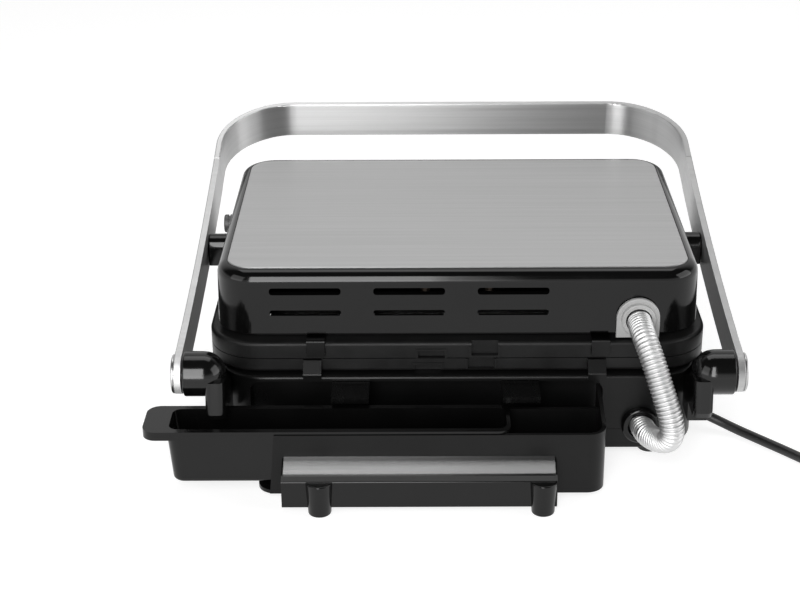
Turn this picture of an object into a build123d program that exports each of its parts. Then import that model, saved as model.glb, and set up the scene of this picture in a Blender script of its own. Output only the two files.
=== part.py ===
from build123d import *
import math
import os

os.makedirs("parts", exist_ok=True)

# Contact grill seen from its own middle: x = 0 on the mid plane, y = 0 at the middle of the lid,
# +y to the rear, z = 0 on the table. The row's origin is the middle of the whole footprint.

# Clearances
SEAT_GAP = 0.3
SLIDE_GAP = 0.4
RUN_GAP = 0.05
SHEET = 0.8

# Lid
LID_HALF_W = 164.0
LID_HALF_D = 115.0
LID_CORNER = 26.0
LID_BOTTOM_Z = 89.0
LID_TOP_Z = 132.8
LID_TAPER = 1.3
LID_WALL = 2.5
LID_TOP_FILLET = 8.0
PANEL_MARGIN_X = 8.0
PANEL_MARGIN_Y = 9.7
PANEL_HALF_W = LID_HALF_W - PANEL_MARGIN_X
PANEL_HALF_D = LID_HALF_D - PANEL_MARGIN_Y
PANEL_CORNER = 17.0
PANEL_T = 1.2
PANEL_GROOVE = 0.6
PANEL_PROUD = 0.4
PANEL_BEVEL = 0.5
FRAME_INSET = 6.5
FRAME_PLUG_H = 4.0

# Vent slots in the lid's rear wall
VENT_W = 48.0
VENT_UPPER_H = 5.0
VENT_LOWER_H = 4.0
VENT_PITCH = 69.8
VENT_MID_X = 32.8
VENT_UPPER_Z = 119.3
VENT_LOWER_Z = 103.8
SILL_DEPTH = 4.0
SILL_T = 1.4

# Grill plates
PLATE_OVERHANG = 6.0
PLATE_HALF_W = LID_HALF_W + PLATE_OVERHANG
PLATE_FRONT_OVERHANG = 3.0
PLATE_REAR_OVERHANG = 6.0
PLATE_FRONT = LID_HALF_D + PLATE_FRONT_OVERHANG
PLATE_REAR = LID_HALF_D + PLATE_REAR_OVERHANG
PLATE_CORNER = 35.0
PLATE_EDGE = 2.5
PLATE_GAP = 0.6
PARTING_Z = 72.9
UPPER_PLATE_H = 11.4
LOWER_PLATE_H = 9.7
PLATE_FLOOR = 5.0
PLATE_RIM = 7.0
RIDGE_W = 4.0
RIDGE_PITCH = 11.0
RIDGE_INSET = 15.0
DRAIN_R = 3.5
DRAIN_INSET = 11.0
DRAIN_Y = PLATE_REAR - DRAIN_INSET
PLATE_STAGGER = 2.4
NOTCH_X = 18.0
NOTCH_W = 18.0
NOTCH_H = 5.2
NOTCH_SKIN = 0.4
NOTCH_DEPTH = 3.2
BEAD_W = 1.5
BEAD_PROUD = 0.9
CLIP_X = 96.0
CLIP_W = 12.3
CLIP_T = 2.0
CLIP_NOSE = 2.0
CLIP_NOSE_T = 2.4
CLIP_BEND_R = 1.4
CLIP_LAP = 2.0

# Base
BASE_INSET = 7.0
BASE_HALF_W = PLATE_HALF_W - BASE_INSET
BASE_REAR_STEP = 7.0
BASE_FRONT = PLATE_FRONT
BASE_REAR = PLATE_REAR + BASE_REAR_STEP
BASE_CORNER = 32.0
BASE_BOTTOM_Z = 6.5
SEAM_Z = 22.0
SEAM_GAP = 0.2
BASE_TOP_Z = PARTING_Z - PLATE_GAP / 2 - LOWER_PLATE_H - SEAT_GAP
BASE_WALL = 2.5
DECK_T = 3.0
WELL_MARGIN_X = 27.0
WELL_MARGIN_Y = 18.0
WELL_HALF_W = BASE_HALF_W - WELL_MARGIN_X
WELL_HALF_D = BASE_FRONT - WELL_MARGIN_Y
WELL_CORNER = 24.0
BAY_LEFT_MARGIN = 22.0
BAY_RIGHT_MARGIN = 65.0
BAY_LEFT = BASE_HALF_W - BAY_LEFT_MARGIN
BAY_RIGHT = BASE_HALF_W - BAY_RIGHT_MARGIN
BAY_DEPTH = 12.0
BAY_TOP_Z = 59.0
BAY_CORNER = 8.0
FOOT_R = 8.0
FOOT_STUD_R = 2.5
FOOT_INSET_X = 30.0
FOOT_INSET_Y = 14.0
FOOT_X = BASE_HALF_W - FOOT_INSET_X
FOOT_REAR_Y = BASE_REAR - FOOT_INSET_Y
FOOT_FRONT_Y = BASE_FRONT - FOOT_INSET_Y

# Heating elements and reflectors
PAN_DEPTH = 15.0
PAN_FLANGE = 4.6
UPPER_PAN_H = 11.0
ELEMENT_R = 3.25
ELEMENT_INSET_X = 24.0
ELEMENT_INSET_Y = 16.0
ELEMENT_HALF_W = WELL_HALF_W - ELEMENT_INSET_X
ELEMENT_HALF_D = WELL_HALF_D - ELEMENT_INSET_Y
ELEMENT_END_X = 22.0
ELEMENT_TAIL = 22.0
ELEMENT_BEND = 20.0
ELEMENT_TAIL_BEND = 8.0

# Hinge brackets, arms and handle
HINGE_OUTSET = 22.0
HINGE_Y = BASE_REAR + HINGE_OUTSET
HINGE_Z = 76.5
HINGE_PIN_R = 4.0
POD_R = 15.0
LEG_OUTSET = 3.5
LEG_W = 13.1
LEG_Z = 37.5
LEG_LAP = 6.0
LEG_FRONT_Y = BASE_REAR - LEG_LAP
LEG_SLOPE = 4.0
LEG_FOOT_TAPER = 4.0
LEG_CLEAR = 0.8
LEG_ROUND = 4.5
LEG_OUT_X = BASE_HALF_W + LEG_OUTSET
LEG_IN_X = LEG_OUT_X - LEG_W
POD_BALL_X = LEG_IN_X + POD_R
POD_RUN = 12.5
POD_END_X = POD_BALL_X + POD_RUN
FLANK_T = 6.8
FLANK_FRONT_Y = 60.0
FLANK_BOTTOM_Z = 38.0
STRAP_GAP = 1.3
STRAP_FRONT_W = 29.5
STRAP_MID_W = 28.0
STRAP_HINGE_W = 26.0
STRAP_T = 4.8
STRAP_IN_X = POD_END_X + STRAP_GAP
STRAP_OUT_X = STRAP_IN_X + STRAP_T
ARM_INSET = 5.0
ARM_FRONT = (ARM_INSET - LID_HALF_D, 120.7)
ARM_MID = (13.4, 94.4)
HANDLE_LENGTH = 82.0
HANDLE_CORNER = 60.0
CAP_T = 1.7
DOWEL_R = 1.3
DOWEL_L = 9.0
PIVOT_Y = -14.0
PIVOT_Z = 100.0
PIVOT_R = 4.2
PIVOT_DEPTH = 6.0
PIVOT_BOSS_R = 8.5

# Drip tray and its channel
TRAY_LEFT = 192.0
TRAY_RIGHT = -33.0
TRAY_OUTSET = 20.5
TRAY_FRONT = BASE_REAR + TRAY_OUTSET
TRAY_RIM_Z = 50.4
TRAY_BOTTOM_Z = 11.5
TRAY_WALL = 2.0
TRAY_CORNER = 8.0
TRAY_LIP = 2.5
TRAY_LIP_T = 1.8
TRAY_DRAFT = 3.1
TAB_T = 6.0
TAB_ROOT = 12.0
TAB_LENGTH = 15.0
CHANNEL_LEFT = 120.7
CHANNEL_RIGHT = -95.9
CHANNEL_FLOOR_LEFT = 132.9
CHANNEL_DEPTH = 56.0
CHANNEL_REAR = BASE_REAR + CHANNEL_DEPTH
CHANNEL_WALL = 2.6
CHANNEL_FLOOR_Z = 5.0
CHANNEL_END_Z = 57.0
CHANNEL_CORNER_Z = 50.8
CHANNEL_CORNER = 12.0
CHANNEL_FLARE = 4.0
TRAY_SIDE_GAP = 0.9
TRAY_REAR = CHANNEL_REAR - CHANNEL_WALL - TRAY_SIDE_GAP

# Stand bar for storing the grill on its back
BAR_LEFT = 115.8
BAR_RIGHT = -63.1
BAR_DEPTH = 17.0
BAR_REAR = CHANNEL_REAR + BAR_DEPTH
BAR_BOTTOM_Z = 4.8
BAR_TOP_Z = 33.0
BAR_FACE_Z = 23.4
BAR_STEP_Y = BAR_REAR - 5.8
BAR_STEP_Z = 27.0
BAR_EDGE = 0.9
LUG_R = 9.0
LUG_TAPER = 3.5
LUG_OUTSET = 7.3
LUG_XS = (91.2, -54.1)
STRIP_T = 1.0

# Drip spouts
SPOUT_XS = (72.4, -41.8)
SPOUT_W = 25.0
SPOUT_REACH = 24.5
SPOUT_REAR = BASE_REAR + SPOUT_REACH
SPOUT_FRONT = DRAIN_Y - 7.0
SPOUT_Z = 55.0
SPOUT_H = 4.2
SPOUT_WALL = 1.0
SPOUT_MOUTH = 3.0

# Flexible conduit between base and lid
HOSE_R = 8.2
HOSE_VALLEY_R = 7.2
HOSE_BORE_R = 6.2
RIB_PITCH = 2.7
HOSE_LID_X = -121.0
HOSE_LID_Z = 100.0
HOSE_BASE_X = -124.3
HOSE_BASE_Z = 26.0
LID_GLAND_R = 14.6
LID_GLAND_FLAT_Z = 86.0
LID_GLAND_T = 2.6
LID_COLLAR_R = 11.6
LID_COLLAR_H = 3.4
BASE_GLAND_R = 13.0
BASE_GLAND_T = 5.0

# Inner parts
THERMOSTAT_W = 30.0
THERMOSTAT_D = 21.5
THERMOSTAT_DROP = 13.0
FUSE_X = -30.0
FUSE_L = 20.0
FUSE_R = 4.0
TERMINAL_X = -100.0
TERMINAL_Y = 37.0
TERMINAL_W = 24.0
TERMINAL_D = 14.0
TERMINAL_H = 12.0
LIMITER_R = 10.0
LIMITER_H = 8.0

# Controls and fasteners
KNOB_R = 14.0
KNOB_H = 14.0
KNOB_X = 62.0
KNOB_Z = 43.0
SHAFT_R = 3.0
LENS_R = 3.0
LENS_XS = (88.0, 100.0)
BUTTON_W = 30.0
BUTTON_H = 9.0
BUTTON_PROUD = 4.5
LOWER_BUTTON_Z = 46.0
UPPER_BUTTON_Z = 95.0
LOCK_Y = -38.0
LOCK_Z = 107.5
LOCK_R = 6.8
LOCK_H = 8.5
LOCK_TRAVEL = 7.0
SCREW_R = 1.7
SCREW_HEAD_R = 3.4
SCREW_HEAD_GAP = 0.4
SCREW_POST_R = 6.0
SCREW_INSET_X = 9.5
SCREW_XS = (SCREW_INSET_X - BASE_HALF_W, BASE_HALF_W - SCREW_INSET_X)
SCREW_YS = (-84.0, 40.0)
BRACKET_SCREW_YS = (72.0, 88.0)
BRACKET_SCREW_Z = 50.0
LID_SCREW_INSET_X = 13.0
LID_SCREW_YS = (-60.0, 60.0)

# Mains cord
CORD_R = 3.4
CORD_EXIT_Y = 83.4
CORD_EXIT_Z = 15.9
BOOT_R = 5.2
BOOT_TIP_R = 4.2
BOOT_RIBS = 3
BOOT_RIB_STEP = 3.0
TIE_T = 0.8
COIL_STEP = 7.3
COIL_OUTER_R = 44.8
COIL_TURNS = 2
COIL_CENTRE = (-296.0, 139.0)
COIL_START_DEG = 40.5
COIL_Z = CORD_R + TIE_T + 0.15
COIL_LEAD = 2 * CORD_R
PLUG_R = 17.4
PLUG_L = 38.0
PIN_R = 2.4
PIN_L = 19.0
PIN_SPREAD = 9.5

# Line of an arm in y and z, and the slope at which the handle leaves it
strap_curve = Edge.make_three_point_arc((*ARM_FRONT, 0), (*ARM_MID, 0), (HINGE_Y, HINGE_Z, 0))
HANDLE_ANGLE = math.atan2(-(strap_curve % 0).Y, (strap_curve % 0).X)

# Reach of the grill from its own middle, and the middle of its footprint
SIDE_REACH = STRAP_OUT_X + CAP_T
TAB_REACH = TRAY_LEFT + TAB_LENGTH
HANDLE_FACE_Y = HANDLE_LENGTH * math.cos(HANDLE_ANGLE) - ARM_FRONT[0]
FRONT_REACH = HANDLE_FACE_Y + STRAP_FRONT_W / 2 * math.sin(HANDLE_ANGLE)
REAR_REACH = BAR_REAR + LUG_OUTSET
MID_X = (SIDE_REACH - TAB_REACH) / 2
MID_Y = (FRONT_REACH - REAR_REACH) / 2


def level(z):
    """Horizontal plane at height z: sketch x to +x, sketch y to the rear."""
    return Plane(origin=(MID_X, MID_Y, z))


def upright(y):
    """Vertical plane across the grill at y: sketch x to +x, sketch y up, extrudes to the front."""
    return Plane(origin=(MID_X, MID_Y + y, 0), x_dir=(1, 0, 0), z_dir=(0, -1, 0))


def side(x):
    """Vertical plane along the grill at x: sketch x to the rear, sketch y up, extrudes to +x."""
    return Plane(origin=(MID_X + x, MID_Y, 0), x_dir=(0, 1, 0), z_dir=(1, 0, 0))


def spot(x, y, z):
    """A point of the grill in the row's frame."""
    return (MID_X + x, MID_Y + y, z)


def between(a, b):
    """Middle of two values."""
    return (a + b) / 2


def block(x0, x1, y0, y1, z0, z1, corner=0.0):
    """Upright block between two corners, with rounded vertical edges."""
    with BuildPart() as made:
        with BuildSketch(level(z0)):
            with Locations((between(x0, x1), between(y0, y1))):
                if corner > 0:
                    RectangleRounded(x1 - x0, y1 - y0, corner)
                else:
                    Rectangle(x1 - x0, y1 - y0)
        extrude(amount=z1 - z0)
    return made.part


def rod_x(x0, x1, y, z, radius):
    """Round rod along x."""
    with BuildPart() as made:
        with BuildSketch(side(x0)):
            with Locations((y, z)):
                Circle(radius)
        extrude(amount=x1 - x0)
    return made.part


def rod_y(y0, y1, x, z, radius):
    """Round rod along y."""
    with BuildPart() as made:
        with BuildSketch(upright(y1)):
            with Locations((x, z)):
                Circle(radius)
        extrude(amount=y1 - y0)
    return made.part


def rod_z(z0, z1, x, y, radius):
    """Round rod along z."""
    with BuildPart() as made:
        with BuildSketch(level(z0)):
            with Locations((x, y)):
                Circle(radius)
        extrude(amount=z1 - z0)
    return made.part


MIRROR = Plane(origin=(MID_X, MID_Y, 0), z_dir=(1, 0, 0))
SCREW_SPOTS = [(x, y) for x in SCREW_XS for y in SCREW_YS]
FOOT_SPOTS = [(sx * FOOT_X, y) for sx in (-1, 1) for y in (-FOOT_FRONT_Y, FOOT_REAR_Y)]
BASE_DECK_Z = BASE_TOP_Z - DECK_T
HEAD_TOP_Z = BASE_BOTTOM_Z + 6.0


def rim_block(half_w, half_d, grow, z0, z1):
    """Block over the middle of the grill, grown on all sides, with the wells' corners."""
    return block(
        -half_w - grow,
        half_w + grow,
        -half_d - grow,
        half_d + grow,
        z0,
        z1,
        WELL_CORNER + grow,
    )


def hose_hole():
    """Cutter for the conduit's way through the base's rear wall."""
    return rod_y(BASE_REAR - 6, BASE_REAR + 1, HOSE_BASE_X, HOSE_BASE_Z, BASE_GLAND_R - 3)


# Bottom cover of the base
with BuildPart() as bottom_cover:
    add(block(-BASE_HALF_W, BASE_HALF_W, -BASE_FRONT, BASE_REAR, BASE_BOTTOM_Z, SEAM_Z, BASE_CORNER))
    fillet(bottom_cover.faces().sort_by(Axis.Z)[0].edges(), BASE_WALL)
    add(
        block(
            -BASE_HALF_W + BASE_WALL,
            BASE_HALF_W - BASE_WALL,
            -BASE_FRONT + BASE_WALL,
            BASE_REAR - BASE_WALL,
            BASE_BOTTOM_Z + BASE_WALL,
            SEAM_Z,
            BASE_CORNER - BASE_WALL,
        ),
        mode=Mode.SUBTRACT,
    )
    for x, y in SCREW_SPOTS:
        add(rod_z(BASE_BOTTOM_Z, SEAM_Z, x, y, SCREW_POST_R))
        add(rod_z(BASE_BOTTOM_Z, HEAD_TOP_Z, x, y, SCREW_HEAD_R + SCREW_HEAD_GAP), mode=Mode.SUBTRACT)
        add(rod_z(BASE_BOTTOM_Z, SEAM_Z, x, y, SCREW_R + RUN_GAP), mode=Mode.SUBTRACT)
    for x, y in FOOT_SPOTS:
        add(
            rod_z(BASE_BOTTOM_Z, BASE_BOTTOM_Z + BASE_WALL, x, y, FOOT_STUD_R + RUN_GAP),
            mode=Mode.SUBTRACT,
        )
    with BuildSketch(level(BASE_BOTTOM_Z)):
        with GridLocations(16, 34, 8, 3):
            SlotOverall(24, 4, rotation=90)
    extrude(amount=BASE_WALL, mode=Mode.SUBTRACT)
    add(hose_hole(), mode=Mode.SUBTRACT)
    add(
        rod_x(-BASE_HALF_W - 1, -BASE_HALF_W + 4, CORD_EXIT_Y, CORD_EXIT_Z, BOOT_R + 1.3),
        mode=Mode.SUBTRACT,
    )
bottom_cover.part.label = "bottom_cover"
export_step(bottom_cover.part, "parts/bottom_cover.step")

# Upper housing of the base, with the bay that the drip tray runs past
with BuildPart() as base_housing:
    add(
        block(
            -BASE_HALF_W,
            BASE_HALF_W,
            -BASE_FRONT,
            BASE_REAR,
            SEAM_Z + SEAM_GAP,
            BASE_TOP_Z,
            BASE_CORNER,
        )
    )
    fillet(base_housing.faces().sort_by(Axis.Z)[-1].edges(), 2.0)
    add(
        block(
            -BASE_HALF_W + BASE_WALL,
            BASE_HALF_W - BASE_WALL,
            -BASE_FRONT + BASE_WALL,
            BASE_REAR - BASE_WALL,
            SEAM_Z,
            BASE_DECK_Z,
            BASE_CORNER - BASE_WALL,
        ),
        mode=Mode.SUBTRACT,
    )
    add(
        block(
            -BAY_RIGHT - BASE_WALL,
            BAY_LEFT + BASE_WALL,
            BASE_REAR - BAY_DEPTH - BASE_WALL,
            BASE_REAR - BASE_WALL - 0.5,
            SEAM_Z + SEAM_GAP,
            BASE_DECK_Z,
        )
    )
    with BuildSketch(upright(BASE_REAR + 1)):
        with Locations((between(-BAY_RIGHT, BAY_LEFT), between(SEAM_Z - 20, BAY_TOP_Z))):
            RectangleRounded(BAY_LEFT + BAY_RIGHT, BAY_TOP_Z - SEAM_Z + 20, BAY_CORNER)
    extrude(amount=BAY_DEPTH + 1, mode=Mode.SUBTRACT)
    add(
        rim_block(WELL_HALF_W, WELL_HALF_D, 0, BASE_DECK_Z - 1, BASE_TOP_Z + 1),
        mode=Mode.SUBTRACT,
    )
    add(
        rim_block(
            WELL_HALF_W,
            WELL_HALF_D,
            PAN_FLANGE + 0.4,
            BASE_TOP_Z - SHEET - 0.2,
            BASE_TOP_Z + 1,
        ),
        mode=Mode.SUBTRACT,
    )
    for x, y in SCREW_SPOTS:
        add(rod_z(SEAM_Z + SEAM_GAP, BASE_DECK_Z, x, y, SCREW_POST_R - 1))
        add(rod_z(SEAM_Z, SEAM_Z + 18, x, y, SCREW_R + RUN_GAP), mode=Mode.SUBTRACT)
    for x in SPOUT_XS:
        add(
            block(
                x - SPOUT_W / 2 - SEAT_GAP,
                x + SPOUT_W / 2 + SEAT_GAP,
                SPOUT_FRONT,
                BASE_REAR + 1,
                SPOUT_Z - SEAT_GAP,
                SPOUT_Z + SPOUT_H + SEAT_GAP,
            ),
            mode=Mode.SUBTRACT,
        )
        add(rod_z(BASE_DECK_Z - 1, BASE_TOP_Z + 1, x, DRAIN_Y, DRAIN_R + 0.5), mode=Mode.SUBTRACT)
    for sx in (-1, 1):
        for y in BRACKET_SCREW_YS:
            ends = sorted((sx * (BASE_HALF_W - 8), sx * (BASE_HALF_W - 1)))
            add(rod_x(*ends, y, BRACKET_SCREW_Z, SCREW_POST_R - 1.5))
            ends = sorted((sx * (BASE_HALF_W - 7), sx * (BASE_HALF_W + 1)))
            add(rod_x(*ends, y, BRACKET_SCREW_Z, SCREW_R + RUN_GAP), mode=Mode.SUBTRACT)
    add(hose_hole(), mode=Mode.SUBTRACT)
    add(
        rod_y(-BASE_FRONT - 1, -BASE_FRONT + 4, KNOB_X, KNOB_Z, SHAFT_R + SEAT_GAP),
        mode=Mode.SUBTRACT,
    )
    for x in LENS_XS:
        add(
            rod_y(-BASE_FRONT - 1, -BASE_FRONT + 4, x, KNOB_Z, LENS_R + 2 * RUN_GAP),
            mode=Mode.SUBTRACT,
        )
    add(
        block(
            -BUTTON_W / 2 - SLIDE_GAP,
            BUTTON_W / 2 + SLIDE_GAP,
            -BASE_FRONT - 1,
            -BASE_FRONT + 4,
            LOWER_BUTTON_Z - SLIDE_GAP,
            LOWER_BUTTON_Z + BUTTON_H + SLIDE_GAP,
        ),
        mode=Mode.SUBTRACT,
    )
base_housing.part.label = "base_housing"
export_step(base_housing.part, "parts/base_housing.step")

# Rubber feet, each with a stud in the bottom cover
with BuildPart() as rubber_feet:
    for x, y in FOOT_SPOTS:
        add(rod_z(0, BASE_BOTTOM_Z - 0.1, x, y, FOOT_R))
        add(rod_z(BASE_BOTTOM_Z - 0.2, BASE_BOTTOM_Z + BASE_WALL, x, y, FOOT_STUD_R))
    chamfer(rubber_feet.faces().sort_by(Axis.Z)[0:4].edges(), 0.8)
rubber_feet.part.label = "rubber_feet"
export_step(rubber_feet.part, "parts/rubber_feet.step")

# Screws that hold the bottom cover
with BuildPart() as base_screws:
    for x, y in SCREW_SPOTS:
        add(rod_z(HEAD_TOP_Z - 2.6, HEAD_TOP_Z - 0.2, x, y, SCREW_HEAD_R))
        add(rod_z(HEAD_TOP_Z - 0.4, SEAM_Z + 16, x, y, SCREW_R))
        add(
            block(x - 2.2, x + 2.2, y - 0.5, y + 0.5, HEAD_TOP_Z - 2.6, HEAD_TOP_Z - 1.8),
            mode=Mode.SUBTRACT,
        )
base_screws.part.label = "base_screws"
export_step(base_screws.part, "parts/base_screws.step")

# Reflector pan under the lower plate
PAN_TOP_Z = BASE_TOP_Z - 0.1
with BuildPart() as lower_reflector:
    add(rim_block(WELL_HALF_W, WELL_HALF_D, PAN_FLANGE, PAN_TOP_Z - SHEET, PAN_TOP_Z))
    add(rim_block(WELL_HALF_W, WELL_HALF_D, -SEAT_GAP, PAN_TOP_Z - PAN_DEPTH, PAN_TOP_Z))
    add(
        rim_block(
            WELL_HALF_W,
            WELL_HALF_D,
            -SEAT_GAP - SHEET,
            PAN_TOP_Z - PAN_DEPTH + SHEET,
            PAN_TOP_Z + 1,
        ),
        mode=Mode.SUBTRACT,
    )
    for x in (-ELEMENT_END_X, ELEMENT_END_X):
        add(
            rod_z(PAN_TOP_Z - PAN_DEPTH - 1, PAN_TOP_Z, x, ELEMENT_HALF_D, ELEMENT_R + SEAT_GAP),
            mode=Mode.SUBTRACT,
        )
lower_reflector.part.label = "lower_reflector"
export_step(lower_reflector.part, "parts/lower_reflector.step")


def element(z, tail):
    """Tubular element: a rounded loop at height z whose two ends turn up or down by the tail."""
    corners = [
        (-ELEMENT_END_X, ELEMENT_HALF_D, z + tail),
        (-ELEMENT_END_X, ELEMENT_HALF_D, z),
        (-ELEMENT_HALF_W, ELEMENT_HALF_D, z),
        (-ELEMENT_HALF_W, -ELEMENT_HALF_D, z),
        (ELEMENT_HALF_W, -ELEMENT_HALF_D, z),
        (ELEMENT_HALF_W, ELEMENT_HALF_D, z),
        (ELEMENT_END_X, ELEMENT_HALF_D, z),
        (ELEMENT_END_X, ELEMENT_HALF_D, z + tail),
    ]
    bends = [ELEMENT_TAIL_BEND, *[ELEMENT_BEND] * 4, ELEMENT_TAIL_BEND]
    with BuildPart() as made:
        with BuildLine():
            FilletPolyline(*[spot(*corner) for corner in corners], radius=bends)
        with BuildSketch(level(z + tail)):
            with Locations((-ELEMENT_END_X, ELEMENT_HALF_D)):
                Circle(ELEMENT_R)
        sweep()
    return made.part


# Lower element, its ends down through the pan
LOWER_ELEMENT_Z = BASE_TOP_Z - 4.2
with BuildPart() as lower_element:
    add(element(LOWER_ELEMENT_Z, -ELEMENT_TAIL))
lower_element.part.label = "lower_element"
export_step(lower_element.part, "parts/lower_element.step")


def plate(bottom_z, height, ridges_up, shift):
    """Cast plate with a rim, ridges along y, a rear notch and a pocket for each clip."""
    hollow_low = bottom_z + PLATE_FLOOR if ridges_up else bottom_z - 1
    hollow_high = bottom_z + height + 1 if ridges_up else bottom_z + height - PLATE_FLOOR
    ridge_low = bottom_z + PLATE_FLOOR - 0.2 if ridges_up else bottom_z
    ridge_high = bottom_z + height if ridges_up else bottom_z + height - PLATE_FLOOR + 0.2
    ridge_half = PLATE_HALF_W - RIDGE_INSET
    ridge_count = int(2 * ridge_half / RIDGE_PITCH)
    with BuildPart() as made:
        add(
            block(
                -PLATE_HALF_W,
                PLATE_HALF_W,
                -PLATE_FRONT,
                PLATE_REAR,
                bottom_z,
                bottom_z + height,
                PLATE_CORNER,
            )
        )
        outer = made.faces().sort_by(Axis.Z)[0 if ridges_up else -1]
        fillet(outer.edges(), PLATE_EDGE)
        add(
            block(
                -PLATE_HALF_W + PLATE_RIM,
                PLATE_HALF_W - PLATE_RIM,
                -PLATE_FRONT + PLATE_RIM,
                PLATE_REAR - PLATE_RIM,
                hollow_low,
                hollow_high,
                PLATE_CORNER - PLATE_RIM,
            ),
            mode=Mode.SUBTRACT,
        )
        with BuildSketch(level(ridge_low)):
            with Locations((0, between(-PLATE_FRONT, PLATE_REAR))):
                with GridLocations(RIDGE_PITCH, 1, ridge_count, 1):
                    SlotOverall(PLATE_FRONT + PLATE_REAR - 2 * RIDGE_INSET, RIDGE_W, rotation=90)
        extrude(amount=ridge_high - ridge_low)
        # Notches in the rear rim, one open below and one open above, each with a bead round it
        top_z = bottom_z + height
        bead_low = bottom_z + (PLATE_EDGE if ridges_up else 0)
        bead_high = top_z - (0 if ridges_up else PLATE_EDGE)
        for x, low, high in (
            (shift + NOTCH_X, bottom_z - 1, bottom_z + NOTCH_H),
            (shift - NOTCH_X, bottom_z + NOTCH_SKIN + BEAD_W, top_z + 1),
        ):
            left = x - NOTCH_W / 2
            right = x + NOTCH_W / 2
            add(
                block(
                    left - BEAD_W,
                    right + BEAD_W,
                    PLATE_REAR - NOTCH_DEPTH,
                    PLATE_REAR + BEAD_PROUD,
                    max(low - BEAD_W, bead_low),
                    min(high + BEAD_W, bead_high),
                )
            )
            add(
                block(left, right, PLATE_REAR - NOTCH_DEPTH, PLATE_REAR + 2, low, high),
                mode=Mode.SUBTRACT,
            )
        # Pockets that the clips' noses enter
        for x in (-CLIP_X, CLIP_X):
            add(
                block(
                    x + shift - CLIP_W / 2 - 0.4,
                    x + shift + CLIP_W / 2 + 0.4,
                    PLATE_REAR - CLIP_NOSE - 0.4,
                    PLATE_REAR + 1,
                    bottom_z + height / 2 - CLIP_NOSE_T / 2 - 0.4,
                    bottom_z + height / 2 + CLIP_NOSE_T / 2 + 0.4,
                ),
                mode=Mode.SUBTRACT,
            )
    return made.part


LOWER_PLATE_Z = PARTING_Z - PLATE_GAP / 2 - LOWER_PLATE_H
UPPER_PLATE_Z = PARTING_Z + PLATE_GAP / 2

# Lower plate, with a drain above each spout
with BuildPart() as lower_plate:
    add(plate(LOWER_PLATE_Z, LOWER_PLATE_H, True, PLATE_STAGGER))
    for x in SPOUT_XS:
        add(
            rod_z(LOWER_PLATE_Z - 1, LOWER_PLATE_Z + LOWER_PLATE_H, x, DRAIN_Y, DRAIN_R),
            mode=Mode.SUBTRACT,
        )
lower_plate.part.label = "lower_plate"
export_step(lower_plate.part, "parts/lower_plate.step")

# Upper plate, ridges down
with BuildPart() as upper_plate:
    add(plate(UPPER_PLATE_Z, UPPER_PLATE_H, False, 0.0))
upper_plate.part.label = "upper_plate"
export_step(upper_plate.part, "parts/upper_plate.step")


def clips(outline, shift):
    """Two bent spring clips with the given outline in y and z, rounded where they bend."""
    with BuildPart() as made:
        for x in (-CLIP_X, CLIP_X):
            with BuildSketch(side(x + shift - CLIP_W / 2)):
                with BuildLine():
                    Polyline(*outline, close=True)
                make_face()
            extrude(amount=CLIP_W)
        rear_edges = made.edges().filter_by(Axis.X).group_by(Axis.Y)[-1]
        fillet(rear_edges.group_by(Axis.Z)[-1], CLIP_BEND_R)
    return made.part


# Clips on the base that hook the lower plate's rear rim
LOWER_NOSE_Z = LOWER_PLATE_Z + LOWER_PLATE_H / 2
NOSE_UP = CLIP_NOSE_T / 2
NOSE_Y = PLATE_REAR - CLIP_NOSE
RIM_Y = PLATE_REAR + SEAT_GAP
WALL_Y = BASE_REAR + 2 * RUN_GAP
with BuildPart() as lower_plate_clips:
    add(
        clips(
            [
                (WALL_Y, BASE_TOP_Z - CLIP_LAP),
                (BASE_REAR + CLIP_T, BASE_TOP_Z - CLIP_LAP),
                (BASE_REAR + CLIP_T, LOWER_PLATE_Z + CLIP_T),
                (RIM_Y + CLIP_T, LOWER_PLATE_Z + LOWER_PLATE_H),
                (RIM_Y, LOWER_PLATE_Z + LOWER_PLATE_H),
                (RIM_Y, LOWER_NOSE_Z + NOSE_UP),
                (NOSE_Y, LOWER_NOSE_Z + NOSE_UP),
                (NOSE_Y, LOWER_NOSE_Z - NOSE_UP),
                (RIM_Y, LOWER_NOSE_Z - NOSE_UP),
                (RIM_Y, BASE_TOP_Z + 2 * RUN_GAP),
                (WALL_Y, BASE_TOP_Z + 2 * RUN_GAP),
            ],
            PLATE_STAGGER,
        )
    )
lower_plate_clips.part.label = "lower_plate_clips"
export_step(lower_plate_clips.part, "parts/lower_plate_clips.step")

# Clips on the lid that hook the upper plate's rear rim
UPPER_NOSE_Z = UPPER_PLATE_Z + UPPER_PLATE_H / 2
FRAME_Z = UPPER_PLATE_Z + UPPER_PLATE_H + SEAT_GAP
CLIP_TOP_Z = FRAME_Z + CLIP_T + 2 * RUN_GAP
FRAME_REAR = LID_HALF_D - FRAME_INSET
with BuildPart() as upper_plate_clips:
    add(
        clips(
            [
                (RIM_Y, UPPER_PLATE_Z + CLIP_T),
                (RIM_Y + CLIP_T, UPPER_PLATE_Z + CLIP_T),
                (RIM_Y + CLIP_T, CLIP_TOP_Z),
                (FRAME_REAR + SEAT_GAP, CLIP_TOP_Z),
                (FRAME_REAR + SEAT_GAP, FRAME_Z + 2 * RUN_GAP),
                (RIM_Y, FRAME_Z + 2 * RUN_GAP),
                (RIM_Y, UPPER_NOSE_Z + NOSE_UP),
                (NOSE_Y, UPPER_NOSE_Z + NOSE_UP),
                (NOSE_Y, UPPER_NOSE_Z - NOSE_UP),
                (RIM_Y, UPPER_NOSE_Z - NOSE_UP),
            ],
            0,
        )
    )
upper_plate_clips.part.label = "upper_plate_clips"
export_step(upper_plate_clips.part, "parts/upper_plate_clips.step")

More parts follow.
